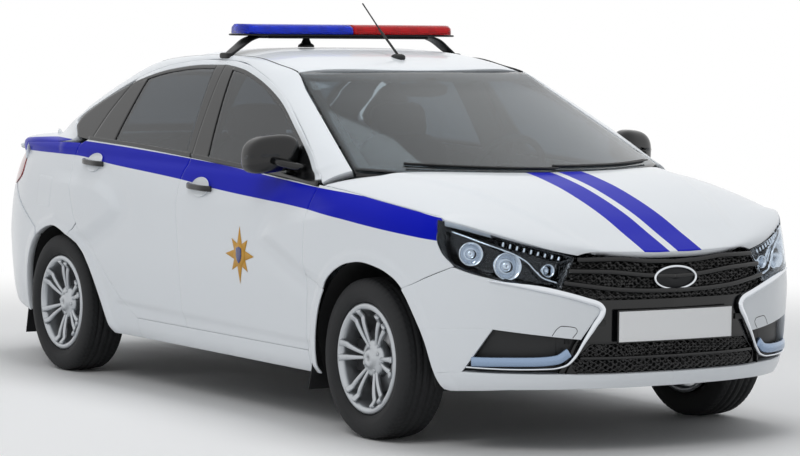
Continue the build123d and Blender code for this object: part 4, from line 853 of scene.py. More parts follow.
quarter_pane = frame_patch([(-1.205, 1.058), (-1.062, 1.055)], rear_edge, part_of(DLO, -1.250, -0.905),
                           [(-1.205, 1.058), (-1.262, 1.105), (-1.250, 1.150)], gap=(0, GAP, 0.002, 0.002))
both("quarter_pane_{}", quarter_pane, GLOSS, "car_body")
# painted strip of each door's top, between the daylight opening and the gap below the rail
front_strip = side_panel(part_of(DLO, -0.165, 0.965), [on_line(DLO, 0.965), on_line(DOOR_TOP, 1.000)],
                         part_of(DOOR_TOP, -0.168, 1.000), [post_top, on_line(DOOR_TOP, -0.168)], 130, 6,
                         TOP_SKIN, (0, 0, GAP, GAP))
both("front_door_top_{}", front_strip, PAINT, "front_door_{}")
rear_strip = side_panel(part_of(DLO, -0.900, -0.165), [post_top, on_line(DOOR_TOP, -0.168)],
                        part_of(DOOR_TOP, -0.905, -0.168), [on_line(DLO, -0.900), on_line(DOOR_TOP, -0.905)],
                        110, 6, TOP_SKIN, (0, GAP, GAP, GAP))
both("rear_door_top_{}", rear_strip, PAINT, "rear_door_{}")
for name, x0, x1, body in (("front", -0.084, 0.995, "front_door_{}"),
                           ("rear", -1.085, -0.092, "rear_door_{}")):
    path = side(part_of(BELT, x0, x1, 90, 0.004))
    strip = bar(path + (0, 0.003, 0), oval(0.012, 0.022, 12, 3.0))
    both(name + "_belt_moulding_{}", strip, GLOSS, body)

# Sill, quarter panel with shoulder and pillar, roof rail
sill = side_panel([(-0.520, 0.215), (0.942, 0.213)], [(0.942, 0.213), (0.938, 0.300)],
                  [(-0.520, 0.300), (0.938, 0.300)], [(-0.520, 0.215), (-0.520, 0.300)], 90, 10, 0.05,
                  (0, GAP, GAP, 0))
rear_low = rear_arch[(rear_arch[:, 0] > -1.50) & (rear_arch[:, 1] > 0.22)]
above_arch = rear_low[rear_low[:, 0] <= -1.10]
dogleg_arch = rear_low[rear_low[:, 0] >= -1.10]
door_back = line(DOOR_BACK[:-1], 200)
dogleg_door = door_back[door_back[:, 1] <= 0.678][::-1]
back_rest = door_back[door_back[:, 1] >= 0.678]
SHOULDER = [(-1.790, 1.008), (-1.60, 1.020), (-1.40, 1.026), (-1.20, 1.030), (-1.140, 1.030)]
quarter_left = line([(-1.891, 0.818), (-1.800, 0.848), (-1.776, 0.875), (-1.783, 0.929), (-1.790, 1.008)])
quarter_right = chain(above_arch[-1:], back_rest[:1], back_rest, [back_rest[-1], (-1.140, 1.030)])
quarter = side_panel(chain([(-1.891, 0.818), (-1.841, 0.787), (-1.493, 0.617)], above_arch), quarter_right,
                     line(SHOULDER), quarter_left, 84, 56, PANEL, (0, GAP, 0, GAP))
dogleg_low = chain(above_arch[-1:], dogleg_arch, [dogleg_arch[-1], (-0.757, 0.215), (-0.520, 0.215)])
dogleg_high = chain(dogleg_door, [dogleg_door[-1], (-0.520, 0.300)])
dogleg = side_panel(dogleg_low, [(-0.520, 0.215), (-0.520, 0.300)], dogleg_high,
                    [above_arch[-1], dogleg_door[0]], 84, 18, PANEL, (0, 0, GAP, -GAP))


RAIL_HIGH = [(-2.045, 0.587, 1.022), (-1.90, 0.588, 1.044), (-1.70, 0.590, 1.056), (-1.655, 0.652, 1.052),
             (-1.56, 0.654, 1.100), (-1.36, 0.634, 1.200), (-1.15, 0.594, 1.300), (-0.960, 0.552, 1.379),
             (-0.77, 0.552, 1.412), (-0.50, 0.555, 1.431), (-0.25, 0.556, 1.437), (0.00, 0.556, 1.430),
             (0.20, 0.557, 1.402), (0.345, 0.562, 1.378), (0.503, 0.603, 1.300), (0.704, 0.650, 1.200),
             (0.904, 0.697, 1.100), (1.005, 0.721, 1.050), (1.092, 0.742, 1.008)]
RAIL_LOW = [(-1.985, 0.985), (-1.88, 1.000), (-1.70, 1.014), (-1.42, 1.026), (-1.215, 1.056),
            (-1.291, 1.128), (-1.100, 1.236), (-0.860, 1.342), (-0.66, 1.386), (-0.46, 1.408),
            (-0.25, 1.418), (-0.05, 1.411), (0.14, 1.376), (0.33, 1.322), (0.48, 1.266), (0.658, 1.180),
            (0.84, 1.082), (0.94, 1.015), (1.020, 0.960)]


def rail_strip(start, stop, n, m, bulge, gap_low, gap_high):
    """Strip between the low and high rail lines: straight rows with a bulge, or rows that go up and over."""
    t = np.linspace(start, stop, n)
    k = np.arange(len(RAIL_LOW), dtype=float)
    low2 = np.stack([smooth(t, k, [p[i] for p in RAIL_LOW]) for i in (0, 1)], -1)
    low = side(low2)
    high = np.stack([smooth(t, k, [p[i] for p in RAIL_HIGH]) for i in (0, 1, 2)], -1) * (1, -1, 1)
    length = np.linalg.norm(high - low, axis=1)
    v = gap_low / length + np.linspace(0, 1, m)[:, None] * (1 - (gap_low + gap_high) / length)
    over = 1 - ease((t - 2.0) / 2.2)
    reach = v + (1 - np.cos(v * np.pi / 2) ** 0.8 - v) * over
    rise = v + (np.sin(v * np.pi / 2) ** 0.8 - v) * over
    x = low[:, 0] + (high[:, 0] - low[:, 0]) * v
    y = low[:, 1] + (high[:, 1] - low[:, 1]) * reach
    z = low[:, 2] + (high[:, 2] - low[:, 2]) * rise
    grid = places(x, y, z)
    up = np.array((0, -0.55, 0.83))
    return grid + up * (bulge * 4 * v * (1 - v) * (1 - over))[..., None]


rail_grid = rail_strip(0, 18, 220, 12, 0.006, 0.0015, 0.0015)
rail_part = shell(rail_grid, PANEL, {"stripe": stripe(rail_grid[..., 0], rail_grid[..., 2])})
both("side_panel_{}", joined([sill, quarter, dogleg, rail_part]), PAINT, "car_body", ["side_frame_{}"])

# Bonnet, roof and boot lid


def bonnet_plan(n, m):
    """Bonnet's plan: rows run from the rear arc to the front edge, each bowed forwards in the middle."""
    t = np.linspace(0.002, 1, m)[:, None]
    u = np.linspace(1, -1, n)[None]
    edge_x = 1.042 + (2.120 - 1.042) * t
    mid_x = 1.391 + (2.173 - 1.391) * t ** 1.06
    edge_z = smooth(edge_x, HOOD_EDGE_X, HOOD_EDGE_Z)
    by_wing = side_y(edge_x, edge_z) - 0.003
    by_lamp = nose_width(edge_z) - smooth(edge_x + nose_back(edge_z), NOSE_X, NOSE_IN) - 0.002
    edge_y = by_wing + (by_lamp - by_wing) * ease((edge_x - 1.74) / 0.08)
    x = mid_x - (mid_x - edge_x) * np.abs(u) ** 2.6
    return x, u * edge_y, edge_x, np.abs(u)


def bonnet_grid(n=96, m=72):
    """Bonnet: from the middle line down to the edge line with the fifth power of the share across.

    Two creases run forwards and in from the windscreen; outside them the metal lies 9 mm lower, and a hollow
    of 3 mm runs along their inner side.
    """
    x, y, edge_x, u = bonnet_plan(n, m)
    middle = smooth(x, HOOD_MID_X, HOOD_MID_Z)
    edge = smooth(edge_x, HOOD_EDGE_X, HOOD_EDGE_Z)
    z = edge + (middle - edge) * (1 - u ** 5)
    crease_y = 0.66 - 0.32 * np.clip((x - 1.15) / 1.0, 0, 1)
    drop = ease((np.abs(y) - crease_y + 0.012) / 0.05) * ease((2.12 - x) / 0.25) * (1 - u ** 6)
    z = z - 0.009 * drop
    hollow = ease((crease_y - np.abs(y)) / 0.05) * ease((0.20 + np.abs(y) - crease_y) / 0.20)
    return places(x, y, z - 0.003 * hollow * ease((x - 1.3) / 0.2))


hood_grid = bonnet_grid()
hood_y = np.abs(hood_grid[..., 1])
hood_bands = np.minimum(hood_y - STRIPE_INNER_Y, STRIPE_OUTER_Y - hood_y)
place("bonnet", shell(hood_grid, LID_SKIN, {"stripe": hood_bands}), PAINT, "hood", ["hood"])

u = np.linspace(1, -1, 44)[None]
t = np.linspace(0, 1, 48)[:, None]
roof_x = (-1.022 + 0.070 * np.abs(u) ** 2.4) * (1 - t) + (0.440 - 0.098 * np.abs(u) ** 2.2) * t
roof_grid = roof(places(roof_x, 0.546 * u))
place("roof_skin", shell(roof_grid, PANEL), PAINT, "car_body", ["roof_panel"])
ditch = rail_strip(7.6, 13.0, 160, 2, 0, 0, 0)[1]
both("roof_ditch_strip_{}", bar(ditch + (0, 0.004, -0.003), oval(0.012, 0.008, 10, 3.0)), SEAL, "car_body")

u = np.linspace(1, -1, 64)[None]
LID_HALF = 0.583
LID_PROFILE = [(-1.690, 1.066), (-1.78, 1.062), (-1.95, 1.054), (-2.055, 1.043), (-2.092, 1.034),
               (-2.105, 1.018), (-2.109, 0.99), (-2.118, 0.93), (-2.130, 0.86), (-2.132, 0.81),
               (-2.150, 0.76), (-2.156, 0.706)]
t = np.linspace(0, 1, 76)
k = np.linspace(0, 1, len(LID_PROFILE))
lid_x = smooth(t, k, [p[0] for p in LID_PROFILE])[::-1, None]
lid_z = smooth(t, k, [p[1] for p in LID_PROFILE])[::-1, None]
lid_half = LID_HALF - 0.090 * ease((0.985 - lid_z) / 0.02)
lid_y = u * lid_half
lid_top = ease((lid_z - 0.98) / 0.04)
lid_bow = 0.07 * np.abs(lid_y / LID_HALF) ** 2.5 * ease((-1.70 - lid_x) / 0.3)
lid_fall = lid_top * 0.018 * np.abs(lid_y / LID_HALF) ** 2.2
lid_grid = places(lid_x + lid_bow, lid_y, lid_z - lid_fall)
place("boot_lid_skin", shell(lid_grid, LID_SKIN), PAINT, "boot_lid", ["boot_lid"])

# Screens: panes reach this share of the opening's half width
PANE_SHARE = 0.985
s = np.linspace(-1, 1, 50)[None]
z = np.linspace(0, 1, 36)[:, None]
front_z = 0.985 + 0.027 * np.abs(s) ** 2 + (1.380 - 0.985 - 0.034 * np.abs(s) ** 2) * z
front_screen = screen(True)
screen_grid = front_screen(places(PANE_SHARE * s, front_z))
place("windscreen_glass", shell(screen_grid, 0.005), SCREEN, "car_body", ["windscreen"])
back_z = 1.062 + (1.372 - 1.062) * z
rear_screen = screen(False)
rear_grid = rear_screen(places(-PANE_SHARE * s, back_z))
place("rear_screen_glass", shell(rear_grid, 0.005), GLASS, "car_body", ["rear_glass"])


def border(grid_chart, z0, z1):
    """Black printed border behind a screen's edge: its outer and its inner loop on the screen's chart."""
    loops = []
    for inset in (0.0, 0.055):
        a = PANE_SHARE - inset * 1.3
        zl = z0 + inset * 0.6
        zh = z1 - inset * 0.55
        q = np.linspace(-a, a, 50)
        e = np.linspace(zl, zh, 40)[1:-1]
        loop = np.concatenate([places(q, zl), places(a, e), places(q[::-1], zh), places(-a, e[::-1])])
        loops.append(grid_chart(loop))
    return loops


for name, chart, z0, z1, shift in (("windscreen_border", front_screen, 0.992, 1.374, (-0.006, 0, -0.006)),
                                   ("rear_screen_border", rear_screen, 1.068, 1.368, (0.006, 0, -0.006))):
    outer, inner = border(chart, z0, z1)
    outer = outer + shift
    inner = inner + shift
    down = np.array(shift) * 0.4
    rings = np.stack([outer, inner, inner + down, outer + down])
    n = rings.shape[1]
    index = np.arange(4 * n).reshape(4, n)
    below = np.roll(index, -1, axis=0)
    faces = quads(index, np.roll(index, -1, axis=1), np.roll(below, -1, axis=1), below)
    if name.startswith("windscreen"):
        faces = faces[:, ::-1]
    place(name, (rings.reshape(-1, 3), faces[:, ::-1].tolist(), {}), GLOSS, "car_body")

# Front bumper in three patches round the fog recess


def nose_line(points, n=60):
    """Line of the nose chart through places given as (x, z, 'x') or (y, z, 'y')."""
    return line([from_x(a, z) if kind == "x" else from_y(a, z) for a, z, kind in points], n)


arch_front = front_arch[front_arch[:, 0] > 1.642]
arch_chart = np.array([from_x(x, z) for x, z in arch_front])
cut = 0.455
upper_arch = arch_chart[arch_chart[:, 1] > cut][::-1]
middle_arch = arch_chart[(arch_chart[:, 1] <= cut) & (arch_chart[:, 1] > 0.290)][::-1]
low_arch = arch_chart[(arch_chart[:, 1] <= 0.290) & (arch_chart[:, 1] > 0.228)][::-1]
REC_TL = (0.682, 0.469, "y")
REC_TR = (0.398, 0.432, "y")
REC_BL = (0.748, 0.304, "y")
REC_BR = (0.446, 0.302, "y")
arch_cut = (upper_arch[0][0], upper_arch[0][1])
w1_low = np.array([arch_cut, from_y(*REC_TL[:2]), from_y(*REC_TR[:2])])
w1_right = nose_line([REC_TR, (0.352, 0.500, "y"), (0.326, 0.545, "y"), (0.345, 0.572, "y")])
w1_high = chain([(float(from_x(1.650, 0.592)[0]), 0.595)],
                nose_line([(1.650, 0.597, "x"), (1.865, 0.691, "x")]),
                nose_line([(1.865, 0.691, "x"), (1.930, 0.668, "x"), (2.020, 0.642, "x"),
                           (0.474, 0.606, "y"), (0.345, 0.572, "y")]))
w1_left = np.concatenate([upper_arch, [w1_high[0]]])
bump_1 = side_panel(w1_low, w1_right, w1_high, w1_left, 90, 28, PANEL, (0, 0, GAP, 0), chart=nose)
w2_low = np.array([middle_arch[0], from_y(*REC_BL[:2])])
w2_right = nose_line([REC_BL, REC_TL])
w2_high = np.array([arch_cut, from_y(*REC_TL[:2])])
bump_2 = side_panel(w2_low, w2_right, w2_high, np.concatenate([middle_arch, [arch_cut]]), 28, 28, PANEL,
                    NO_GAP, chart=nose)
w3_low = chain([low_arch[0]],
               nose_line([(1.812, 0.229, "x"), (1.92, 0.236, "x"), (0.60, 0.243, "y"), (0.234, 0.247, "y"),
                          (0.0, 0.247, "y")], 100))
w3_high = chain([middle_arch[0]], nose_line([(1.802, 0.293, "x"), REC_BL], 20), nose_line([REC_BL, REC_BR]),
                nose_line([REC_BR, (0.395, 0.299, "y"), (0.340, 0.298, "y"), (0.0, 0.298, "y")]))
w3_right = np.array([w3_low[-1], w3_high[-1]])
bump_3 = side_panel(w3_low, w3_right, w3_high, np.concatenate([low_arch, [middle_arch[0]]]), 110, 12, PANEL,
                    NO_GAP, chart=nose)


def in_front(points, n=60):
    """Line of the nose chart through places given as (y, z)."""
    return nose_line([(y, z, "y") for y, z in points], n)


def nose_patch(low, right, high, left, n, m, depth=0.01, sink=0.0):
    """Closed panel between four lines of the nose chart, set in along its normals by its sink."""
    grid = nose(between(low, right, high, left, n, m, NO_GAP))
    grid = grid - normals(grid) * sink
    return shell(grid, depth)


white_bumper = joined([bump_1, bump_2, bump_3])
both("front_bumper_{}", white_bumper, PAINT, "car_body", ["front_bumper"])

# Black middle of the bumper: band behind the plate and dark cheeks beside the lower grille
band_low = in_front([(0.416, 0.413), (0.18, 0.413), (0.0, 0.413)], 90)
band_high = in_front([(0.352, 0.574), (0.30, 0.573), (0.16, 0.572), (0.0, 0.572)], 90)
band_left = in_front([(0.416, 0.413), (0.362, 0.494), (0.336, 0.540), (0.352, 0.574)], 40)
band_right = np.array([band_low[-1], band_high[-1]])
band = nose_patch(band_low, band_right, band_high, band_left, 48, 20, 0.015, 0.012)
cheek_low = in_front([(0.470, 0.297), (0.396, 0.297)], 12)
cheek_high = in_front([(0.416, 0.414), (0.358, 0.414)], 12)
cheek_right = in_front([(0.396, 0.297), (0.424, 0.330), (0.358, 0.414)], 30)
cheek_left = in_front([(0.470, 0.297), (0.416, 0.414)], 30)
cheek = nose_patch(cheek_low, cheek_right, cheek_high, cheek_left, 14, 24, 0.015, 0.011)
both("bumper_band_{}", joined([band, cheek]), GLOSS, "car_body")

# Mesh of the grilles: cell's width and height, depth, half a wall; and the slope's width beside a wall
MESH_CELL = (0.034, 0.024, 0.012, 0.0012)
MESH_SLOPE = 0.0036


def lattice(grid, cell_w, cell_h, depth, wall):
    """Open mesh pressed into a surface: diamond cells, walls at the surface, floors sunk.

    The distance to the nearest wall of a diamond is found from the two slanted coordinates, and the depth
    follows it through a steep ease.
    """
    width = np.cumsum(np.linalg.norm(np.diff(grid, axis=1, prepend=grid[:, :1]), axis=-1), axis=1)
    width = width - width[:, -1:]
    height = np.cumsum(np.linalg.norm(np.diff(grid, axis=0, prepend=grid[:1]), axis=-1), axis=0)
    a = width / cell_w + height / cell_h
    b = width / cell_w - height / cell_h
    near = np.minimum(np.abs(a - np.round(a)), np.abs(b - np.round(b))) * min(cell_w, cell_h)
    return grid - normals(grid) * (depth * ease((near - wall) / MESH_SLOPE))[..., None]


mesh_low = in_front([(0.468, 0.606), (0.410, 0.590), (0.340, 0.574), (0.16, 0.573), (0.0, 0.572)], 80)
mesh_high = in_front([(0.403, 0.732), (0.25, 0.741), (0.12, 0.743), (0.0, 0.743)], 80)
mesh_left = in_front([(0.468, 0.606), (0.438, 0.670), (0.403, 0.732)], 40)
upper_mesh = nose(between(mesh_low, [mesh_low[-1], mesh_high[-1]], mesh_high, mesh_left, 124, 62, NO_GAP))
upper_mesh = upper_mesh - normals(upper_mesh) * 0.016
both("upper_grille_mesh_{}", shell(lattice(upper_mesh, *MESH_CELL), 0.02), GLOSS, "car_body", ["grille"])
low_low = in_front([(0.398, 0.302), (0.2, 0.301), (0.0, 0.301)], 80)
low_high = in_front([(0.360, 0.413), (0.2, 0.413), (0.0, 0.413)], 80)
low_left = in_front([(0.398, 0.302), (0.424, 0.330), (0.360, 0.413)], 40)
lower_mesh = nose(between(low_low, [low_low[-1], low_high[-1]], low_high, low_left, 116, 40, NO_GAP))
lower_mesh = lower_mesh - normals(lower_mesh) * 0.014
both("lower_grille_mesh_{}", shell(lattice(lower_mesh, *MESH_CELL), 0.02), GLOSS, "car_body")
slats = []
for rows in ([(0.400, 0.722), (0.25, 0.723), (0.11, 0.712), (0.0, 0.708)],
             [(0.436, 0.682), (0.30, 0.678), (0.11, 0.660), (0.0, 0.655)],
             [(0.456, 0.640), (0.36, 0.626), (0.25, 0.612), (0.11, 0.604), (0.0, 0.602)]):
    path = nose(in_front(rows, 70))
    slats.append(bar(path - (0.007, 0, 0), oval(0.026, 0.019, 12, 3.0)))
low_slat = bar(nose(in_front([(0.395, 0.362), (0.2, 0.360), (0.0, 0.360)], 60)) - (0.010, 0, 0),
               oval(0.024, 0.012, 12, 3.5))
both("grille_slats_{}", joined(slats + [low_slat]), GLOSS, "car_body")
chrome_line = [(0.690, 0.646), (0.56, 0.622), (0.474, 0.602), (0.380, 0.575), (0.332, 0.558), (0.318, 0.538),
               (0.350, 0.480), (0.388, 0.420), (0.420, 0.366), (0.452, 0.336), (0.500, 0.325), (0.62, 0.322),
               (0.738, 0.325)]
charted = line([from_y(y, z) for y, z in chrome_line], 240)
chrome_path = nose(charted)
along = np.linspace(0, 1, 240)
width = 0.007 + 0.017 * ease(along / 0.20) - 0.012 * ease((along - 0.42) / 0.18)
width = width - 0.005 * ease((along - 0.6) / 0.1)
profiles = oval(1.0, 1.0, 14, 2.6)[None] * places(width, 0.014)[:, None]
face_out = np.cross(nose(charted + (0.002, 0)) - nose(charted - (0.002, 0)), (0, 0, 1.0))
face_out /= np.linalg.norm(face_out, axis=1, keepdims=True)
both("chrome_boomerang_{}", bar(chrome_path + face_out * 0.002, profiles, face_out), CHROME, "car_body")
# Thin black line round the tow hook cover: painted shade for the dark of the cover's gap
hook_gap_shade = nose(in_front([(0.500, 0.447), (0.484, 0.472), (0.468, 0.482), (0.420, 0.476), (0.412, 0.464),
                            (0.428, 0.438)], 60))
both("hook_cover_line_{}", bar(hook_gap_shade, oval(0.0028, 0.0016, 6), (1, 0, 0)), SEAL, "car_body")

# Fog recess with its silver lamp strip
recess = nose_patch(nose_line([REC_BL, REC_BR]), nose_line([REC_BR, REC_TR]), nose_line([REC_TL, REC_TR]),
                    nose_line([REC_BL, REC_TL]), 16, 12, 0.01, 0.030)
both("fog_recess_{}", recess, TRIM, "car_body", ["fog_pockets"])
lips = []
corners = [REC_BL, REC_BR, REC_TR, REC_TL]
for a, b in zip(corners, corners[1:] + corners[:1]):
    edge = nose(nose_line([a, b], 30))
    wall = np.stack([edge, edge - np.array((0.030, -0.012, 0.0))])
    lips.append(sheet(wall))
both("fog_recess_walls_{}", joined(lips + [turned(part) for part in lips]), GLOSS, "car_body", ())
strip_path = nose(nose_line([(0.726, 0.346, "y"), (0.66, 0.348, "y"), (0.54, 0.351, "y"),
                             (0.480, 0.358, "y"), (0.438, 0.385, "y")], 60))
both("daytime_lamp_{}", bar(strip_path - (0.004, 0, 0), oval(0.022, 0.036, 16, 3.5)), SILVER_STRIP,
     "car_body")

# Headlamps: the lens's places across and up
LAMP_N = 48
LAMP_M = 28
lamp_low = nose_line([(1.867, 0.695, "x"), (1.930, 0.671, "x"), (2.020, 0.645, "x"), (0.474, 0.609, "y")],
                     70)
lamp_right = nose_line([(0.474, 0.609, "y"), (0.440, 0.672, "y"), (0.405, 0.732, "y")], 40)
lamp_high = nose_line([(1.774, 0.863, "x"), (1.852, 0.848, "x"), (1.95, 0.815, "x"), (2.05, 0.772, "x"),
                       (0.405, 0.732, "y")], 70)
lamp_left = nose_line([(1.867, 0.695, "x"), (1.817, 0.742, "x"), (1.788, 0.800, "x"), (1.774, 0.863, "x")],
                      40)
lamp_chart = between(lamp_low, lamp_right, lamp_high, lamp_left, LAMP_N, LAMP_M)
lens_grid = nose(lamp_chart)
lens_normals = normals(lens_grid)
both("headlamp_lens_{}", shell(lens_grid, 0.004), LENS, "car_body", ["headlamps"])
bowl_v = np.linspace(0, 1, LAMP_M)[:, None]
bowl_u = np.linspace(0, 1, LAMP_N)[None]
upright = ease(bowl_v / 0.15) * ease((1 - bowl_v) / 0.15)
sunk = 0.012 + 0.050 * (upright * ease(bowl_u / 0.1) * ease((1 - bowl_u) / 0.1))
housing = lens_grid - lens_normals * sunk[..., None]
both("headlamp_housing_{}", shell(housing, 0.006), GLOSS, "car_body")


def lamp_place(u, v, sink):
    """Place in the lamp at shares across and up, sunk below the cover, and the direction out of it."""
    i = v * (LAMP_M - 1)
    j = u * (LAMP_N - 1)
    i0 = min(int(i), LAMP_M - 2)
    j0 = min(int(j), LAMP_N - 2)
    a = i - i0
    b = j - j0
    p = ((1 - a) * (1 - b) * lens_grid[i0, j0] + a * (1 - b) * lens_grid[i0 + 1, j0]
         + (1 - a) * b * lens_grid[i0, j0 + 1] + a * b * lens_grid[i0 + 1, j0 + 1])
    return p - lens_normals[i0, j0] * sink, lens_normals[i0, j0]


def bowl(centre, facing, radius, depth):
    """Reflector: a dish that opens forwards, with a rim and a small round projector in its middle."""
    rows = [(0.0, 1.0), (0.002, 0.94), (-0.30, 0.80), (-0.70, 0.55), (-0.90, 0.42), (-0.62, 0.40),
            (-0.45, 0.34), (-0.36, 0.22), (-0.33, 0.05), (-1.1, 0.05), (-1.1, 1.0)]
    points, faces, _ = turned_shape([(h * depth, r * radius) for h, r in rows], 48)
    out = np.array(facing) * (1, 0.4, 0.3)
    out /= np.linalg.norm(out)
    side_axis = np.cross((0, 0, 1.0), out)
    side_axis /= np.linalg.norm(side_axis)
    top = np.cross(out, side_axis)
    basis = np.stack([side_axis, out, top])
    return points @ basis + centre, faces, {}


bowls = []
for u0, v0, radius in ((0.26, 0.50, 0.044), (0.55, 0.42, 0.052), (0.86, 0.52, 0.024)):
    centre, facing = lamp_place(u0, v0, 0.020)
    bowls.append(bowl(centre, facing, radius, 0.05))
both("headlamp_reflectors_{}", joined(bowls), CHROME, "car_body")
brow_share = line([(0.12, 0.84), (0.36, 0.80), (0.56, 0.75), (0.68, 0.64), (0.76, 0.44), (0.84, 0.27),
                   (0.95, 0.22)], 80)
brow_path = np.array([lamp_place(u0, v0, 0.012)[0] for u0, v0 in brow_share])
both("headlamp_brow_{}", bar(brow_path, oval(0.012, 0.007, 10)), CHROME, "car_body")
ribs = []
for k in range(9):
    u0 = 0.50 + 0.050 * k
    column = np.array([lamp_place(u0, v, 0.016)[0] for v in np.linspace(0.84, 0.94, 8)])
    ribs.append(bar(column, oval(0.010, 0.008, 8), (1, 0, 0)))
both("turn_lamp_ribs_{}", joined(ribs), CHROME, "car_body")

# Badge boss: oval ring and a plain domed centre
BOSS_X = 2.186
BOSS_Z = 0.649
a = np.linspace(0, 2 * np.pi, 72, endpoint=False)
ring = places(BOSS_X, 0.094 * np.cos(a), BOSS_Z + 0.042 * np.sin(a))
ring = np.concatenate([ring, ring[:1]])
boss_ring = bar(ring, oval(0.010, 0.012, 10), (1, 0, 0), closed=True)
dome = turned_shape([(0.0, 1.0), (0.10, 0.97), (0.35, 0.80), (0.50, 0.45), (0.55, 0.02), (-0.6, 0.02),
                     (-0.6, 1.0)], 64)
dome_points = places(2.180 + dome[0][:, 1] * 0.012, dome[0][:, 0] * 0.092, BOSS_Z + dome[0][:, 2] * 0.040)
place("grille_boss_ring", boss_ring, CHROME, "car_body")
place("grille_boss", (dome_points, dome[1], {}), ALLOY, "car_body", ())


# Rear bumper and tail lamps


def tail_line(points, n=60):
    """Line of the tail chart through places given as (x, z, 'x') or (y, z, 'y')."""
    return line([tail_from_x(a, z) if kind == "x" else tail_from_y(a, z) for a, z, kind in points], n)


def tail_grid(low, right, high, left, n, m, gap=ALL_ROUND):
    """Patch of the tail chart, its columns from the middle of the car forwards."""
    return tail(between(low, right, high, left, n, m, gap))


rear_side = rear_arch[rear_arch[:, 0] < -1.50][::-1]
rear_side_chart = np.array([tail_from_x(x, z) for x, z in rear_side if z > 0.235][::-1])
rb_high = chain(tail_line([(0.0, 0.700, "y"), (0.48, 0.700, "y")], 20),
                [tail_from_y(0.48, 0.700), tail_from_y(0.50, 0.792)],
                tail_line([(0.50, 0.792, "y"), (-2.02, 0.800, "x"), (-1.891, 0.818, "x")], 40),
                tail_line([(-1.891, 0.818, "x"), (-1.841, 0.787, "x"), (-1.493, 0.617, "x")], 40),
                [tail_from_x(-1.493, 0.617), rear_side_chart[-1]])
rb_right = rear_side_chart
rb_low = tail_line([(0.0, 0.300, "y"), (0.50, 0.290, "y"), (0.68, 0.265, "y"), (-1.80, 0.245, "x"),
                    (-1.66, 0.236, "x")], 90)
rb_low = np.concatenate([rb_low, rb_right[:1]])
rb_left = np.array([rb_low[0], rb_high[0]])
rear_half = tail_grid(rb_low, rb_right, rb_high, rb_left, 80, 36, (GAP, GAP, GAP, 0))
rear_whole = np.concatenate([rear_half[:, :0:-1] * (1, -1, 1), rear_half], axis=1)
place("rear_bumper_skin", shell(rear_whole, PANEL), PAINT, "car_body", ["rear_bumper"])
black_low = tail_line([(0.0, 0.302, "y"), (0.46, 0.298, "y")], 30)
black_high = tail_line([(0.0, 0.380, "y"), (0.42, 0.380, "y")], 30)
insert = tail_grid(black_low, [black_low[-1], black_high[-1]], black_high, [black_low[0], black_high[0]], 30,
                   8, NO_GAP)
both("rear_bumper_insert_{}", shell(insert - normals(insert) * -0.003, 0.01), TRIM, "car_body")
tl_low = tail_line([(0.497, 0.796, "y"), (-2.02, 0.803, "x"), (-1.891, 0.822, "x")], 50)
tl_low = chain(tl_low, tail_line([(-1.891, 0.822, "x"), (-1.802, 0.851, "x")], 20))
tl_right = tail_line([(-1.802, 0.851, "x"), (-1.779, 0.880, "x"), (-1.786, 0.931, "x")], 30)
tl_high = tail_line([(0.497, 0.970, "y"), (-2.02, 0.972, "x"), (-1.93, 0.966, "x"), (-1.786, 0.931, "x")],
                    60)
tl_left = np.array([tl_low[0], tl_high[0]])
tail_lens_grid = tail_grid(tl_low, tl_right, tl_high, tl_left, 60, 26)
both("tail_lamp_{}", shell(tail_lens_grid, PANEL), TAIL_LENS, "car_body", ["tail_lamps"])


def resampled(curve, n):
    """Curve in space with n places, evenly spaced along its length."""
    s = np.r_[0, np.cumsum(np.linalg.norm(np.diff(curve, axis=0), axis=1))]
    t = np.linspace(0, s[-1], n)
    return np.stack([np.interp(t, s, curve[:, k]) for k in range(3)], -1)


lamp_top = resampled(tail_lens_grid[-1], 60) + (0, 0, 0.004)
rail_end = rail_grid[0, :, 0] < -1.79
shoulder_top = resampled(np.concatenate([rail_grid[::-1, 0], rail_grid[0, rail_end][1:]]), 60)
v = np.linspace(0, 1, 8)[:, None, None]
shoulder = lamp_top * (1 - v) + shoulder_top * v + np.array((-0.35, -0.45, 0.82)) * 0.030 * v * (1 - v)
shoulder_part = shell(shoulder, 0.02, {"stripe": stripe(shoulder[..., 0], shoulder[..., 2])})
both("shoulder_end_{}", shoulder_part, PAINT, "car_body")

# Plates: blank, with a thin black frame; the front one is bowed
PLATE_HALF = PLATE_W / 2
PLATE_BOW = 0.008
for name, x, z0, lean in (("front_plate", 2.2025, PLATE_Z, -1), ("rear_plate", -2.150, 0.79, 1)):
    y = np.linspace(-1, 1, 30)[None]
    v = np.linspace(-1, 1, 8)[:, None]
    grid = places(x, y * PLATE_W / 2 * -lean, z0 + v * PLATE_H / 2)
    if name == "front_plate":
        grid[..., 0] -= PLATE_BOW * (grid[..., 1] / PLATE_HALF) ** 2
    body = "car_body" if name == "front_plate" else "boot_lid"
    place(name, shell(grid, 0.002), WHITE_PLATE, body, ["number_plates"] if body == "car_body" else ())
    outline = np.array([(x, -0.262, z0 - 0.058), (x, 0.262, z0 - 0.058), (x, 0.262, z0 + 0.058),
                        (x, -0.262, z0 + 0.058)])
    pieces = []
    for k in range(4):
        edge = np.linspace(outline[k], outline[(k + 1) % 4], 24)
        bow = PLATE_BOW * (edge[:, 1] / PLATE_HALF) ** 2 if name == "front_plate" else 0
        edge[:, 0] += lean * (0.004 + bow)
        pieces.append(bar(edge, oval(0.008, 0.010, 8), (1, 0, 0)))
    place(name + "_frame", joined(pieces), GLOSS, body)


# Wheels
SPOKES = 6
NUTS = 4
SPOKE_IN = 0.058
SPOKE_OUT = 0.188
SPOKE_RUN = 0.13
TREAD_BLOCKS = 72


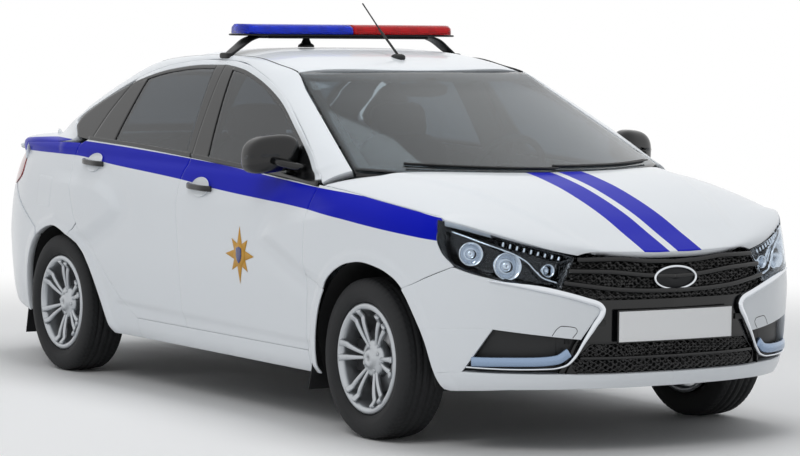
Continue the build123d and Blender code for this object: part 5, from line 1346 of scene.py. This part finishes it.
def spoke_pair(angle, y_face):
    """Two spokes side by side from hub to rim: rounded bars that widen outwards and dip towards the hub."""
    parts = []
    for offset in (-0.5, 0.5):
        r = np.linspace(SPOKE_IN, SPOKE_OUT, 26)
        spread = math.radians(8.2) * 2 * offset * (0.95 + 0.15 * (r - SPOKE_IN) / SPOKE_RUN)
        a = angle + spread
        dip = 0.018 * ((0.150 - r) / 0.092).clip(0, 1) ** 1.5 - 0.020 * ease((r - 0.160) / 0.03)
        path = places(r * np.cos(a), y_face - 0.006 - dip, r * np.sin(a))
        width = 0.013 + 0.013 * (r - SPOKE_IN) / SPOKE_RUN
        profile = oval(1.0, 1.0, 12, 2.8)[None] * places(width, 0.016)[:, None]
        parts.append(bar(path, profile, (0, 1, 0)))
    return joined(parts)


def wheel_face(y_face):
    """Rim in its own frame, axle along y, face towards plus y."""
    outer = turned_shape([(y_face - 0.004, 0.186), (y_face + 0.004, 0.192), (y_face + 0.006, 0.204),
                          (y_face + 0.001, 0.212), (y_face - 0.012, 0.2125), (y_face - 0.016, 0.203),
                          (y_face - 0.050, 0.198), (y_face - 0.150, 0.196), (y_face - 0.165, 0.203),
                          (y_face - 0.172, 0.2105), (y_face - 0.176, 0.2105), (y_face - 0.176, 0.190),
                          (y_face - 0.150, 0.184), (y_face - 0.050, 0.186), (y_face - 0.022, 0.182)], 96)
    hub = turned_shape([(y_face - 0.040, 0.074), (y_face - 0.030, 0.072), (y_face - 0.023, 0.064),
                        (y_face - 0.021, 0.052), (y_face - 0.018, 0.037), (y_face - 0.009, 0.034),
                        (y_face - 0.005, 0.027), (y_face - 0.004, 0.004), (y_face - 0.060, 0.004),
                        (y_face - 0.060, 0.074)], 72)
    spokes = [spoke_pair(2 * math.pi * k / SPOKES + math.radians(15), y_face - 0.006) for k in range(SPOKES)]
    nuts = []
    for k in range(NUTS):
        a = 2 * math.pi * k / NUTS + math.radians(45)
        nut = turned_shape([(y_face - 0.024, 0.009), (y_face - 0.017, 0.009), (y_face - 0.016, 0.006),
                            (y_face - 0.015, 0.001), (y_face - 0.026, 0.001), (y_face - 0.026, 0.009)], 6,
                           (0.050 * math.cos(a), 0, 0.050 * math.sin(a)))
        nuts.append(nut)
    return joined([outer, hub] + spokes + nuts)


def tyre_shape():
    """Tyre: rounded section turned about the axle, four grooves and cross cuts pressed into the tread."""
    section = [(-0.078, 0.2135), (-0.088, 0.222), (-0.0965, 0.245), (-0.0972, 0.262), (-0.094, 0.282),
               (-0.088, 0.295), (-0.080, 0.3025)]
    tread_y = np.linspace(-0.076, 0.076, 33)
    tread_r = 0.3078 - 0.0040 * (np.abs(tread_y) / 0.076) ** 3
    left = np.array(section)
    rows = np.concatenate([left, places(tread_y, tread_r), left[::-1] * (-1, 1)])
    inner = np.array([(0.070, 0.2135), (0.0, 0.2135), (-0.070, 0.2135)])
    rows = np.concatenate([rows, inner])
    n = 288
    a = np.linspace(0, 2 * np.pi, n, endpoint=False)[None]
    y, r = [np.repeat(rows[:, k, None], n, axis=1) for k in (0, 1)]
    tread = (r > 0.301) & (np.abs(y) < 0.084)
    groove = np.minimum.reduce([np.abs(np.abs(y) - 0.016), np.abs(np.abs(y) - 0.046)])
    cut = 0.0065 * (1 - ease((groove - 0.0028) / 0.0016))
    phase = (a * TREAD_BLOCKS / (2 * np.pi) + np.abs(y) * 22) % 1
    from_cut = np.minimum(phase, 1 - phase) * (2 * np.pi / TREAD_BLOCKS) * 0.307
    block = 0.0045 * (1 - ease((from_cut - 0.0012) / 0.0012))
    block = block * (np.abs(y) > 0.020)
    r = r - tread * np.maximum(cut, block)
    shoulder = (np.abs(y) > 0.088) & (r > 0.275) & (r < 0.300)
    r = r - shoulder * 0.0012 * (phase < 0.5)
    points = places(r * np.cos(a), y, r * np.sin(a))
    index = np.arange(points.shape[0] * n).reshape(-1, n)
    down = np.roll(index, -1, axis=0)
    faces = quads(index, down, np.roll(down, -1, axis=1), np.roll(index, -1, axis=1))
    beads = []
    for radius, sign in ((0.2285, 1), (0.2285, -1), (0.252, 1), (0.252, -1)):
        face_y = np.interp(radius, [0.222, 0.245, 0.262], [0.088, 0.0965, 0.0972])
        t = np.linspace(0, 2 * np.pi, 73)
        path = places(radius * np.cos(t), sign * (face_y - 0.0002), radius * np.sin(t))
        beads.append(bar(path, oval(0.0014, 0.0014, 6), (0, 1, 0), closed=True))
    return joined([(points.reshape(-1, 3), faces.tolist(), {})] + beads)


def moved(part, offset, turn=0.0):
    """Part turned about its own y axis, then moved."""
    c, s = math.cos(turn), math.sin(turn)
    p = part[0]
    q = places(c * p[:, 0] + s * p[:, 2], p[:, 1], -s * p[:, 0] + c * p[:, 2])
    return q + offset, part[1], part[2]


tyre = tyre_shape()
wheel = wheel_face(0.082)
disc = turned_shape([(0.005, 0.128), (-0.005, 0.128), (-0.005, 0.062), (-0.03, 0.060), (-0.03, 0.02),
                     (0.02, 0.02), (0.02, 0.060), (0.005, 0.066)], 96)
for end in ("front", "rear"):
    centre = np.array((WHEEL_X[end], WHEEL_Y, TYRE_R))
    turn = 0.35 if end == "front" else 0.9
    rim_left = moved(wheel, centre, turn)
    tyre_left = moved(tyre, centre)
    for sign in (RIGHT, LEFT):
        word = SIDE_NAME[sign]
        flip = mirrored if sign == RIGHT else (lambda part: part)
        body = f"wheel_{end}_{word}"
        place(f"rim_{end}_{word}_face", turned(flip(rim_left)), RIM, body, [f"rim_{end}_{word}"])
        place(f"tyre_{end}_{word}_tread", turned(flip(tyre_left)), RUBBER, body, [f"tyre_{end}_{word}"])
        place(f"brake_disc_{end}_{word}", turned(flip(moved(disc, centre + (0, 0.006, 0)))), DISC, body)

# Door handles: bar over a dished cup
for name, cx, cz, body in (("rear", -0.940, 0.957, "rear_door_{}"),
                           ("front", 0.080, 0.900, "front_door_{}")):
    x = np.linspace(-0.105, 0.100, 40)
    line_z = cz - 0.004 - 0.03 * x
    y = -side_y(cx + x, line_z)
    arch_out = 0.026 * np.clip(1 - (x / 0.105) ** 4, 0, 1) + 0.002
    grip = places(cx + x, y - arch_out, line_z)
    both(name + "_handle_bar_{}", bar(grip, oval(0.014, 0.024, 14, 2.6), (0, 0, 1)), GLOSS, body)
    r = np.linspace(0.02, 1, 8)[:, None]
    a = np.linspace(0, 2 * np.pi, 37)[None]
    px = cx + 0.072 * r * np.cos(a)
    pz = cz - 0.004 + 0.040 * r * np.sin(a)
    dish = places(px, -side_y(px, pz) - 0.0012 - 0.002 * (r > 0.93) + 0.016 * (1 - r ** 2) * 0.06, pz)
    both(name + "_handle_cup_{}", shell(dish[:, ::-1][::-1], 0.004), PAINT, body)

# Fuel flap: a thin raised panel
flap_low = np.array([(-1.512, 0.735), (-1.345, 0.735)])
flap = side(between(flap_low, [(-1.345, 0.735), (-1.325, 0.868)], [(-1.505, 0.872), (-1.325, 0.868)],
                    [(-1.512, 0.735), (-1.505, 0.872)], 16, 14, NO_GAP))
flap_part = shell(flap + normals(flap) * 0.0012, 0.006)
place("fuel_flap_right", flap_part, PAINT, "car_body")

# Door emblem: an eight-pointed gold star with a small shield, a thin foil on each front door


def foil(outline, lift):
    """Thin foil: rings of a closed outline shrunk towards its middle, laid on the door."""
    outline = np.asarray(outline)
    loop = np.concatenate([np.linspace(a, b, 6)[:-1] for a, b in zip(outline, np.roll(outline, -1, axis=0))])
    middle = loop.mean(0)
    shares = np.array([1.0, 0.94, 0.75, 0.5, 0.25, 0.02])[:, None, None]
    rings = middle + (loop - middle) * shares
    xyz = side(rings)
    dome = np.array([0.0004, 0.0016, 0.0020, 0.0024, 0.0026, 0.0026])[:, None]
    xyz[..., 1] -= lift + dome
    n = len(loop)
    index = np.arange(len(rings) * n).reshape(len(rings), n)
    after = np.roll(index, -1, axis=1)
    faces = quads(index[:-1], after[:-1], after[1:], index[1:])
    return xyz.reshape(-1, 3), faces.tolist() + [tuple(index[-1])], {}


def long_and_short(cx, cz, long, short, inner):
    """Eight-pointed star, its upright and level points longer than the slanted ones."""
    a = math.pi / 2 + np.pi * np.arange(16) / 8
    r = np.select([np.arange(16) % 4 == 0, np.arange(16) % 4 == 2], [long, short], inner)
    return places(cx + r * np.cos(a), cz + r * np.sin(a))


STAR_X = 0.445
STAR_Z = 0.640
star = foil(long_and_short(STAR_X, STAR_Z, 0.118, 0.092, 0.050), 0.0006)
a = np.linspace(0, 2 * np.pi, 49)[:-1]
disc_foil = foil(places(STAR_X + 0.046 * np.cos(a), STAR_Z + 0.046 * np.sin(a))[::4], 0.0030)
shield_shape = [(0.022, 0.028), (0.0, 0.034), (-0.022, 0.028), (-0.022, -0.004), (-0.014, -0.024),
                (0.0, -0.034), (0.014, -0.024), (0.022, -0.004)]
shield = foil([(STAR_X + x, STAR_Z + z) for x, z in shield_shape], 0.0058)
both("gold_star_{}", joined([star, disc_foil]), GOLD, "front_door_{}")
both("star_shield_{}", shield, ENAMEL, "front_door_{}")

# Door mirrors: cap, glass, foot, clear indicator strip
MIRROR_Y = -0.885
mirror_cap = blob((0.700, MIRROR_Y, 1.060), (0.135, 0.200, 0.150), 56, 36, 3.0)
points = mirror_cap[0].copy()
lean = (points[:, 1] - MIRROR_Y) / 0.100
points[:, 2] += -0.012 * lean ** 2 * (lean < 0) + 0.010 * lean
points[:, 0] += 0.030 * lean
points[:, 0] = np.maximum(points[:, 0], 0.652 + 0.030 * lean)
mirror_cap = (points, mirror_cap[1], {})
foot = bar([(0.835, -0.800, 1.008), (0.815, -0.830, 1.014), (0.785, -0.862, 1.024), (0.745, -0.885, 1.036)],
           oval(0.075, 0.032, 18, 3.0))
both("mirror_cap_{}", joined([mirror_cap, foot]), GLOSS, "front_door_{}", ["door_mirror_{}"])
signal = bar([(0.680, -0.983, 1.046), (0.715, -0.972, 1.050), (0.745, -0.938, 1.054), (0.765, -0.88, 1.058)],
             oval(0.010, 0.016, 12, 3.0))
both("mirror_signal_{}", signal, LENS, "front_door_{}")
glass = blob((0.648, MIRROR_Y, 1.062), (0.008, 0.155, 0.110), 40, 20, 3.5)
both("mirror_glass_{}", glass, CHROME, "front_door_{}", ())

# Light bar: two clear colour covers with lamp rows inside, on a black tray with legs
BAR_X = -0.220
BAR_HALF = 0.520


def bar_cover(y0, y1):
    """Cover: a low rounded trapezoid carried along the car's width, drawn in at both ends."""
    y = np.linspace(y0, y1, 60)
    t = np.abs(y) / BAR_HALF
    end = (1 - np.clip((t - 0.93) / 0.07, 0, 1) ** 2 * 0.35)
    path = places(BAR_X, y, 1.545)
    profile = np.array([(-0.094, -0.010), (-0.090, 0.010), (-0.060, 0.0235), (-0.03, 0.0248), (0.03, 0.0248),
                        (0.060, 0.0235), (0.090, 0.010), (0.094, -0.010), (0.092, -0.0165),
                        (-0.092, -0.0165)])
    return bar(path, profile[None] * places(end, 1.0)[:, None])


place("bar_cover_blue", turned(bar_cover(-0.516, -0.004)), BLUE_LENS, "car_body", ["light_bar_blue"])
place("bar_cover_red", turned(bar_cover(0.004, 0.516)), RED_LENS, "car_body", ["light_bar_red"])
tray = bar([(BAR_X, y, 1.5235) for y in np.linspace(-0.515, 0.515, 40)], oval(0.184, 0.009, 24, 5.0))
cells = []
for y in np.arange(-0.46, 0.47, 0.092):
    for sign in (-1, 1):
        cells.append(blob((BAR_X + sign * 0.055, y, 1.5440), (0.030, 0.074, 0.026), 16, 8, 4.5))
place("bar_lamp_rows", joined(cells),
      material("lamp_reflector_cells", "#D8DEE8", 0.15, 0.9, grain_mm=2.0, grain_depth_mm=0.05), "car_body",
      ())
legs = []
for sign in (-1, 1):
    path = line([(0.405, 1.524), (0.47, 1.505), (0.530, 1.465), (0.570, 1.436)], 30)
    path3 = places(BAR_X, sign * path[:, 0], path[:, 1])
    w = 0.120 - 0.050 * np.linspace(0, 1, 30)
    legs.append(bar(path3, oval(1.0, 1.0, 14, 4.0)[None] * places(w, 0.012)[:, None]))
    legs.append(blob((BAR_X, sign * 0.577, 1.434), (0.085, 0.030, 0.026), 30, 16, 4.0))
rails = [bar([(BAR_X + dx, -0.40, 1.514), (BAR_X + dx, 0.40, 1.514)],
             oval(0.020, 0.012, 10, 4.0)) for dx in (-0.05, 0.05)]
bell = turned_shape([(0.0, 0.004), (0.0, 0.036), (0.010, 0.034), (0.018, 0.022), (0.034, 0.015),
                     (0.046, 0.016), (0.046, 0.004)], 40)
bell_points = places(BAR_X + bell[0][:, 0], -0.185 + bell[0][:, 2], 1.471 + bell[0][:, 1])
place("bar_rack", joined([tray] + legs + rails + [(bell_points, bell[1], {})]), ALLOY, "car_body",
      ["light_bar_rack"])

# Aerial, wipers, washer nozzles
base = blob((0.235, 0, 1.4345), (0.085, 0.042, 0.030), 32, 18, 2.4)
mast = bar([(0.238, 0, 1.440), (0.150, 0, 1.503), (0.08, 0, 1.552)], oval(0.0105, 0.0105, 12))
whip = bar([(0.09, 0, 1.545), (0.015, 0, 1.604), (-0.058, 0, 1.661)], oval(0.0062, 0.0062, 10))
place("roof_aerial", joined([base, mast, whip]), SEAL, "car_body", ["aerial"])
wipers = []
for y0, y1 in ((0.62, 0.02), (0.02, -0.56)):
    q = np.linspace(0, 1, 30)
    yy = y0 + (y1 - y0) * q
    zz = 1.006 + 0.008 * q + 0.018 * np.abs(yy / 0.7) ** 2
    across = yy / smooth(zz, [r[0] for r in LEVELS], [r[3] for r in LEVELS])
    arm = front_screen(places(across, zz)) + np.array((0.010, 0, 0.012))
    wipers.append(bar(arm, oval(0.010, 0.007, 8)))
    blade = front_screen(places(across, zz + 0.006)) + np.array((0.004, 0, 0.004))
    wipers.append(bar(blade, oval(0.005, 0.012, 8)))
place("wiper_arms", joined(wipers), TRIM, "car_body", ["wipers"])
nozzles = [blob((1.468, y, 0.9755), (0.036, 0.024, 0.012), 24, 12, 2.5) for y in (-0.202, 0.202)]
place("washer_nozzles", joined(nozzles), TRIM, "hood")
cowl_y = np.linspace(-1, 1, 80)[None]
cowl_v = np.linspace(0, 1, 10)[:, None]
cowl_x = (1.375 - 0.30 * np.abs(cowl_y) ** 2.3) - 0.16 * (1 - cowl_v)
cowl = places(cowl_x, -cowl_y * 0.72, 0.968 + 0.012 * cowl_v)
place("cowl_panel", shell(cowl, 0.01), TRIM, "car_body")

# Mud flaps
for name, top, low in (("front", (0.985, 0.334), (0.945, 0.150)),
                       ("rear", (-1.700, 0.380), (-1.745, 0.130))):
    y = np.linspace(-0.845 if name == "front" else -0.790, -0.660, 16)[None]
    v = np.linspace(0, 1, 24)[:, None]
    x = low[0] + (top[0] - low[0]) * v
    grid = places(x + 0.006 * np.sin(v * 3), y, low[1] + (top[1] - low[1]) * v)
    both(name + "_mud_flap_{}", shell(grid[:, ::-1], 0.005), SEAL, "car_body",
         ["mud_flaps"] if name == "front" else ())

# Cabin
for sign in (RIGHT, LEFT):
    for name, centre, size, lean in (("cushion", (0.10, sign * 0.36, 0.470), (0.52, 0.50, 0.17), -0.12),
                                     ("backrest", (-0.235, sign * 0.36, 0.790), (0.15, 0.50, 0.62), 0.30),
                                     ("headrest", (-0.335, sign * 0.36, 1.140), (0.10, 0.27, 0.17), 0.25)):
        piece = place(f"front_seat_{name}_{SIDE_NAME[sign]}", blob(centre, size, 48, 32, 3.6, -lean), CLOTH,
                      "car_body", ["front_seats"] if name == "cushion" and sign == RIGHT else ())
for name, centre, size, lean in (("cushion", (-0.70, 0, 0.480), (0.46, 1.06, 0.15), -0.10),
                                 ("backrest", (-1.03, 0, 0.790), (0.15, 1.08, 0.58), 0.42)):
    piece = place(f"rear_bench_{name}", blob(centre, size, 64, 32, 4.0, -lean), CLOTH, "car_body",
                  ["rear_seat"] if name == "cushion" else ())
y = np.linspace(1, -1, 48)[None]
dash_profile = line([(0.66, 0.62), (0.62, 0.75), (0.60, 0.86), (0.63, 0.935), (0.72, 0.962), (0.95, 0.965),
                     (1.22, 0.955)], 34)
binnacle = 0.018 * np.exp(-((y - 0.50) / 0.22) ** 2) * ease((dash_profile[:, 1:] - 0.85) / 0.08)
dash = places(dash_profile[:, :1] - 0.02 * np.abs(y) ** 2, y * 0.705, dash_profile[:, 1:] + binnacle)
place("dashboard_top", shell(dash, PANEL), SKIN_TRIM, "car_body", ["dashboard"])
STEERING_R = 0.183
axis = np.array((-0.9063, 0, 0.4226))
wheel_centre = np.array((0.52, 0.36, 0.935))
t = np.linspace(0, 2 * np.pi, 73)
e1 = np.array((0, 1.0, 0))
e2 = np.cross(axis, e1)
rim_path = wheel_centre + STEERING_R * (np.cos(t)[:, None] * e1 + np.sin(t)[:, None] * e2)
steering = [bar(rim_path, oval(0.030, 0.028, 14), axis, closed=True)]
for angle in (0.0, math.pi, -math.pi / 2):
    outwards = math.cos(angle) * e1 + math.sin(angle) * e2
    spoke = [wheel_centre + outwards * r - axis * 0.020 * (1 - r / STEERING_R)
             for r in np.linspace(0.03, 0.178, 12)]
    steering.append(bar(spoke, oval(0.036, 0.016, 12, 3.0), axis))
boss = blob((0, 0, 0), (0.15, 0.17, 0.05), 40, 20, 3.0)
steering.append((boss[0] @ np.stack([-e2, e1, axis]) + wheel_centre - axis * 0.02, boss[1], {}))
place("steering_wheel_rim", joined(steering), SKIN_TRIM, "steering_wheel", ["steering_wheel"])
inner_mirror = blob((0.435, 0, 1.300), (0.035, 0.235, 0.062), 40, 20, 3.0)
camera_box = blob((0.500, -0.02, 1.325), (0.075, 0.070, 0.050), 30, 16, 3.5)
place("interior_mirror", joined([inner_mirror, camera_box]), GLOSS, "car_body")
lining = roof_grid - normals(roof_grid) * 0.034
place("roof_lining", shell(lining, 0.006), CLOTH, "car_body")
for place_name, low, right, high, left, body in (
        ("front", front_low, line(DOOR_FRONT), part_of(BELT, -0.087, 1.008), line(B_LINE), "front_door_{}"),
        ("rear", np.array([(-0.520, 0.300), (-0.067, 0.300)]), line(B_LINE), part_of(BELT, -1.090, -0.087),
         line(DOOR_BACK), "rear_door_{}")):
    inner = side(between(low, right, high, left, 24, 16, (0.03, 0.05, 0.004, 0.03)))
    inner = inner - normals(inner) * 0.014
    both(place_name + "_door_lining_{}", shell(inner, 0.07), SKIN_TRIM, body)
pillar = side(between([(-0.180, 0.300), (0.020, 0.300)], [(0.020, 0.300), (-0.06, 1.400)],
                      [(-0.25, 1.400), (-0.06, 1.400)], [(-0.180, 0.300), (-0.25, 1.400)], 10, 50, NO_GAP))
both("centre_pillar_{}", shell(pillar - normals(pillar) * 0.034, 0.03), SKIN_TRIM, "car_body")

# Finishes of the pieces that stay as the frame has them, and painted shade on their white-painted pieces
SLOT_FINISH_AND_SHADE = {"liner_plastic": LINER, "tank_plastic": TRIM, "black_rubber": SEAL, "black_trim": TRIM,
               "cast_steel": CAST, "cast_engine": CAST, "chassis_steel": STEEL_AND_SHADE, "exhaust_steel": EXHAUST,
               "gloss_black_plastic": GLOSS, "bar_aluminium": ALLOY, "silver_alloy": RIM,
               # white-painted body and bumper pieces that stay take the near black: painted shade
               "seat_cloth": CLOTH, "pearl_white_paint": STEEL_AND_SHADE, "pearl_white_bumper": STEEL_AND_SHADE,
               "plate_white": WHITE_PLATE}
for piece in bpy.data.objects:
    if piece.type == "MESH" and piece.name not in made:
        for slot_place in piece.material_slots:
            key = slot_place.material.name.split(".")[0] if slot_place.material else ""
            if key in SLOT_FINISH_AND_SHADE:
                slot_place.material = SLOT_FINISH_AND_SHADE[key]

# Studio: pale floor, plain light
FLOOR_HALF = 60
floor_mesh = bpy.data.meshes.new("studio_floor")
floor_mesh.from_pydata([(x * FLOOR_HALF, y * FLOOR_HALF, 0) for x,
                        y in ((-1, -1), (1, -1), (1, 1), (-1, 1))], [], [(0, 1, 2, 3)])
floor = bpy.data.objects.new("studio_floor", floor_mesh)
bpy.context.scene.collection.objects.link(floor)
pale = material("pale_floor", "#F4F4F4", 0.7)
floor_tree = pale.node_tree
floor_place = add(floor_tree, "ShaderNodeTexCoord")


def eye_ray(tree):
    """1 on rays from the camera, in mirrors and through glass, and 0 on rays that light things."""
    kind = add(tree, "ShaderNodeLightPath")
    two = add(tree, "ShaderNodeMath", {0: kind.outputs["Is Camera Ray"], 1: kind.outputs["Is Glossy Ray"]},
              operation="MAXIMUM")
    three = add(tree, "ShaderNodeMath", {0: two.outputs[0], 1: kind.outputs["Is Transmission Ray"]},
                operation="MAXIMUM")
    return three.outputs[0]


far = add(floor_tree, "ShaderNodeVectorMath", {0: floor_place.outputs["Object"]}, operation="LENGTH")
fade = add(floor_tree, "ShaderNodeMapRange",
           {"Value": far.outputs["Value"], "From Min": 2.6, "From Max": 6.5},
           interpolation_type="SMOOTHSTEP")
glow = add(floor_tree, "ShaderNodeEmission", {"Color": (1, 1, 1, 1), "Strength": 1.0})
fade_seen = add(floor_tree, "ShaderNodeMath", {0: fade.outputs["Result"], 1: eye_ray(floor_tree)},
                operation="MULTIPLY")
faded = add(floor_tree, "ShaderNodeMixShader",
            {0: fade_seen.outputs[0], 1: floor_tree.nodes["Principled BSDF"].outputs[0], 2: glow.outputs[0]})
floor_tree.links.new(faded.outputs[0], floor_tree.nodes["Material Output"].inputs["Surface"])
floor_mesh.materials.append(pale)
world = bpy.data.worlds.new("studio")
bpy.context.scene.world = world
world.use_nodes = True
sky = world.node_tree
sky.nodes.clear()
dim = add(sky, "ShaderNodeBackground", {"Color": (0.94, 0.97, 1, 1), "Strength": 0.38})
white = add(sky, "ShaderNodeBackground", {"Color": (1, 1, 1, 1), "Strength": 1.0})
seen = add(sky, "ShaderNodeMixShader", {0: eye_ray(sky), 1: dim.outputs[0], 2: white.outputs[0]})
add(sky, "ShaderNodeOutputWorld", {"Surface": seen.outputs[0]})


def lamp(name, where, towards, size, power):
    """Rectangular studio lamp, turned from its place towards a point."""
    data = bpy.data.lights.new(name, "AREA")
    data.shape = "RECTANGLE"
    data.size, data.size_y = size
    data.energy = power
    light = bpy.data.objects.new(name, data)
    light.location = where
    light.visible_glossy = False
    light.rotation_euler = (Vector(towards) - Vector(where)).to_track_quat("-Z", "Y").to_euler()
    bpy.context.scene.collection.objects.link(light)


lamp("key_light", (4.5, -5.5, 6.5), (0, 0, 0.6), (4.0, 3.0), 165)
lamp("side_light", (-3.5, -6.5, 4.0), (-0.6, 0, 0.7), (4.0, 2.0), 20)
lamp("top_light", (0.0, 0.5, 6.5), (0, 0, 0.5), (5.0, 3.0), 175)

# Camera, fitted to the photograph
CAMERA_PLACE = (11.362, -6.966, 1.589)
YAW = math.radians(147.89)
PITCH = math.radians(-3.82)
ROLL = math.radians(0.55)
SENSOR_MM = 36.0
FOCAL_MM = 139.7
camera_data = bpy.data.cameras.new("camera")
camera_data.sensor_width = SENSOR_MM
camera_data.lens = FOCAL_MM
camera = bpy.data.objects.new("camera", camera_data)
bpy.context.scene.collection.objects.link(camera)
bpy.context.scene.camera = camera
ahead = Vector((math.cos(PITCH) * math.cos(YAW), math.cos(PITCH) * math.sin(YAW), math.sin(PITCH)))
across = ahead.cross(Vector((0, 0, 1))).normalized()
upward = across.cross(ahead)
right = across * math.cos(ROLL) + upward * math.sin(ROLL)
top = -across * math.sin(ROLL) + upward * math.cos(ROLL)
turn = Matrix((right, top, -ahead)).transposed()
camera.matrix_world = Matrix.Translation(CAMERA_PLACE) @ turn.to_4x4()
bpy.context.scene.view_settings.view_transform = "Standard"
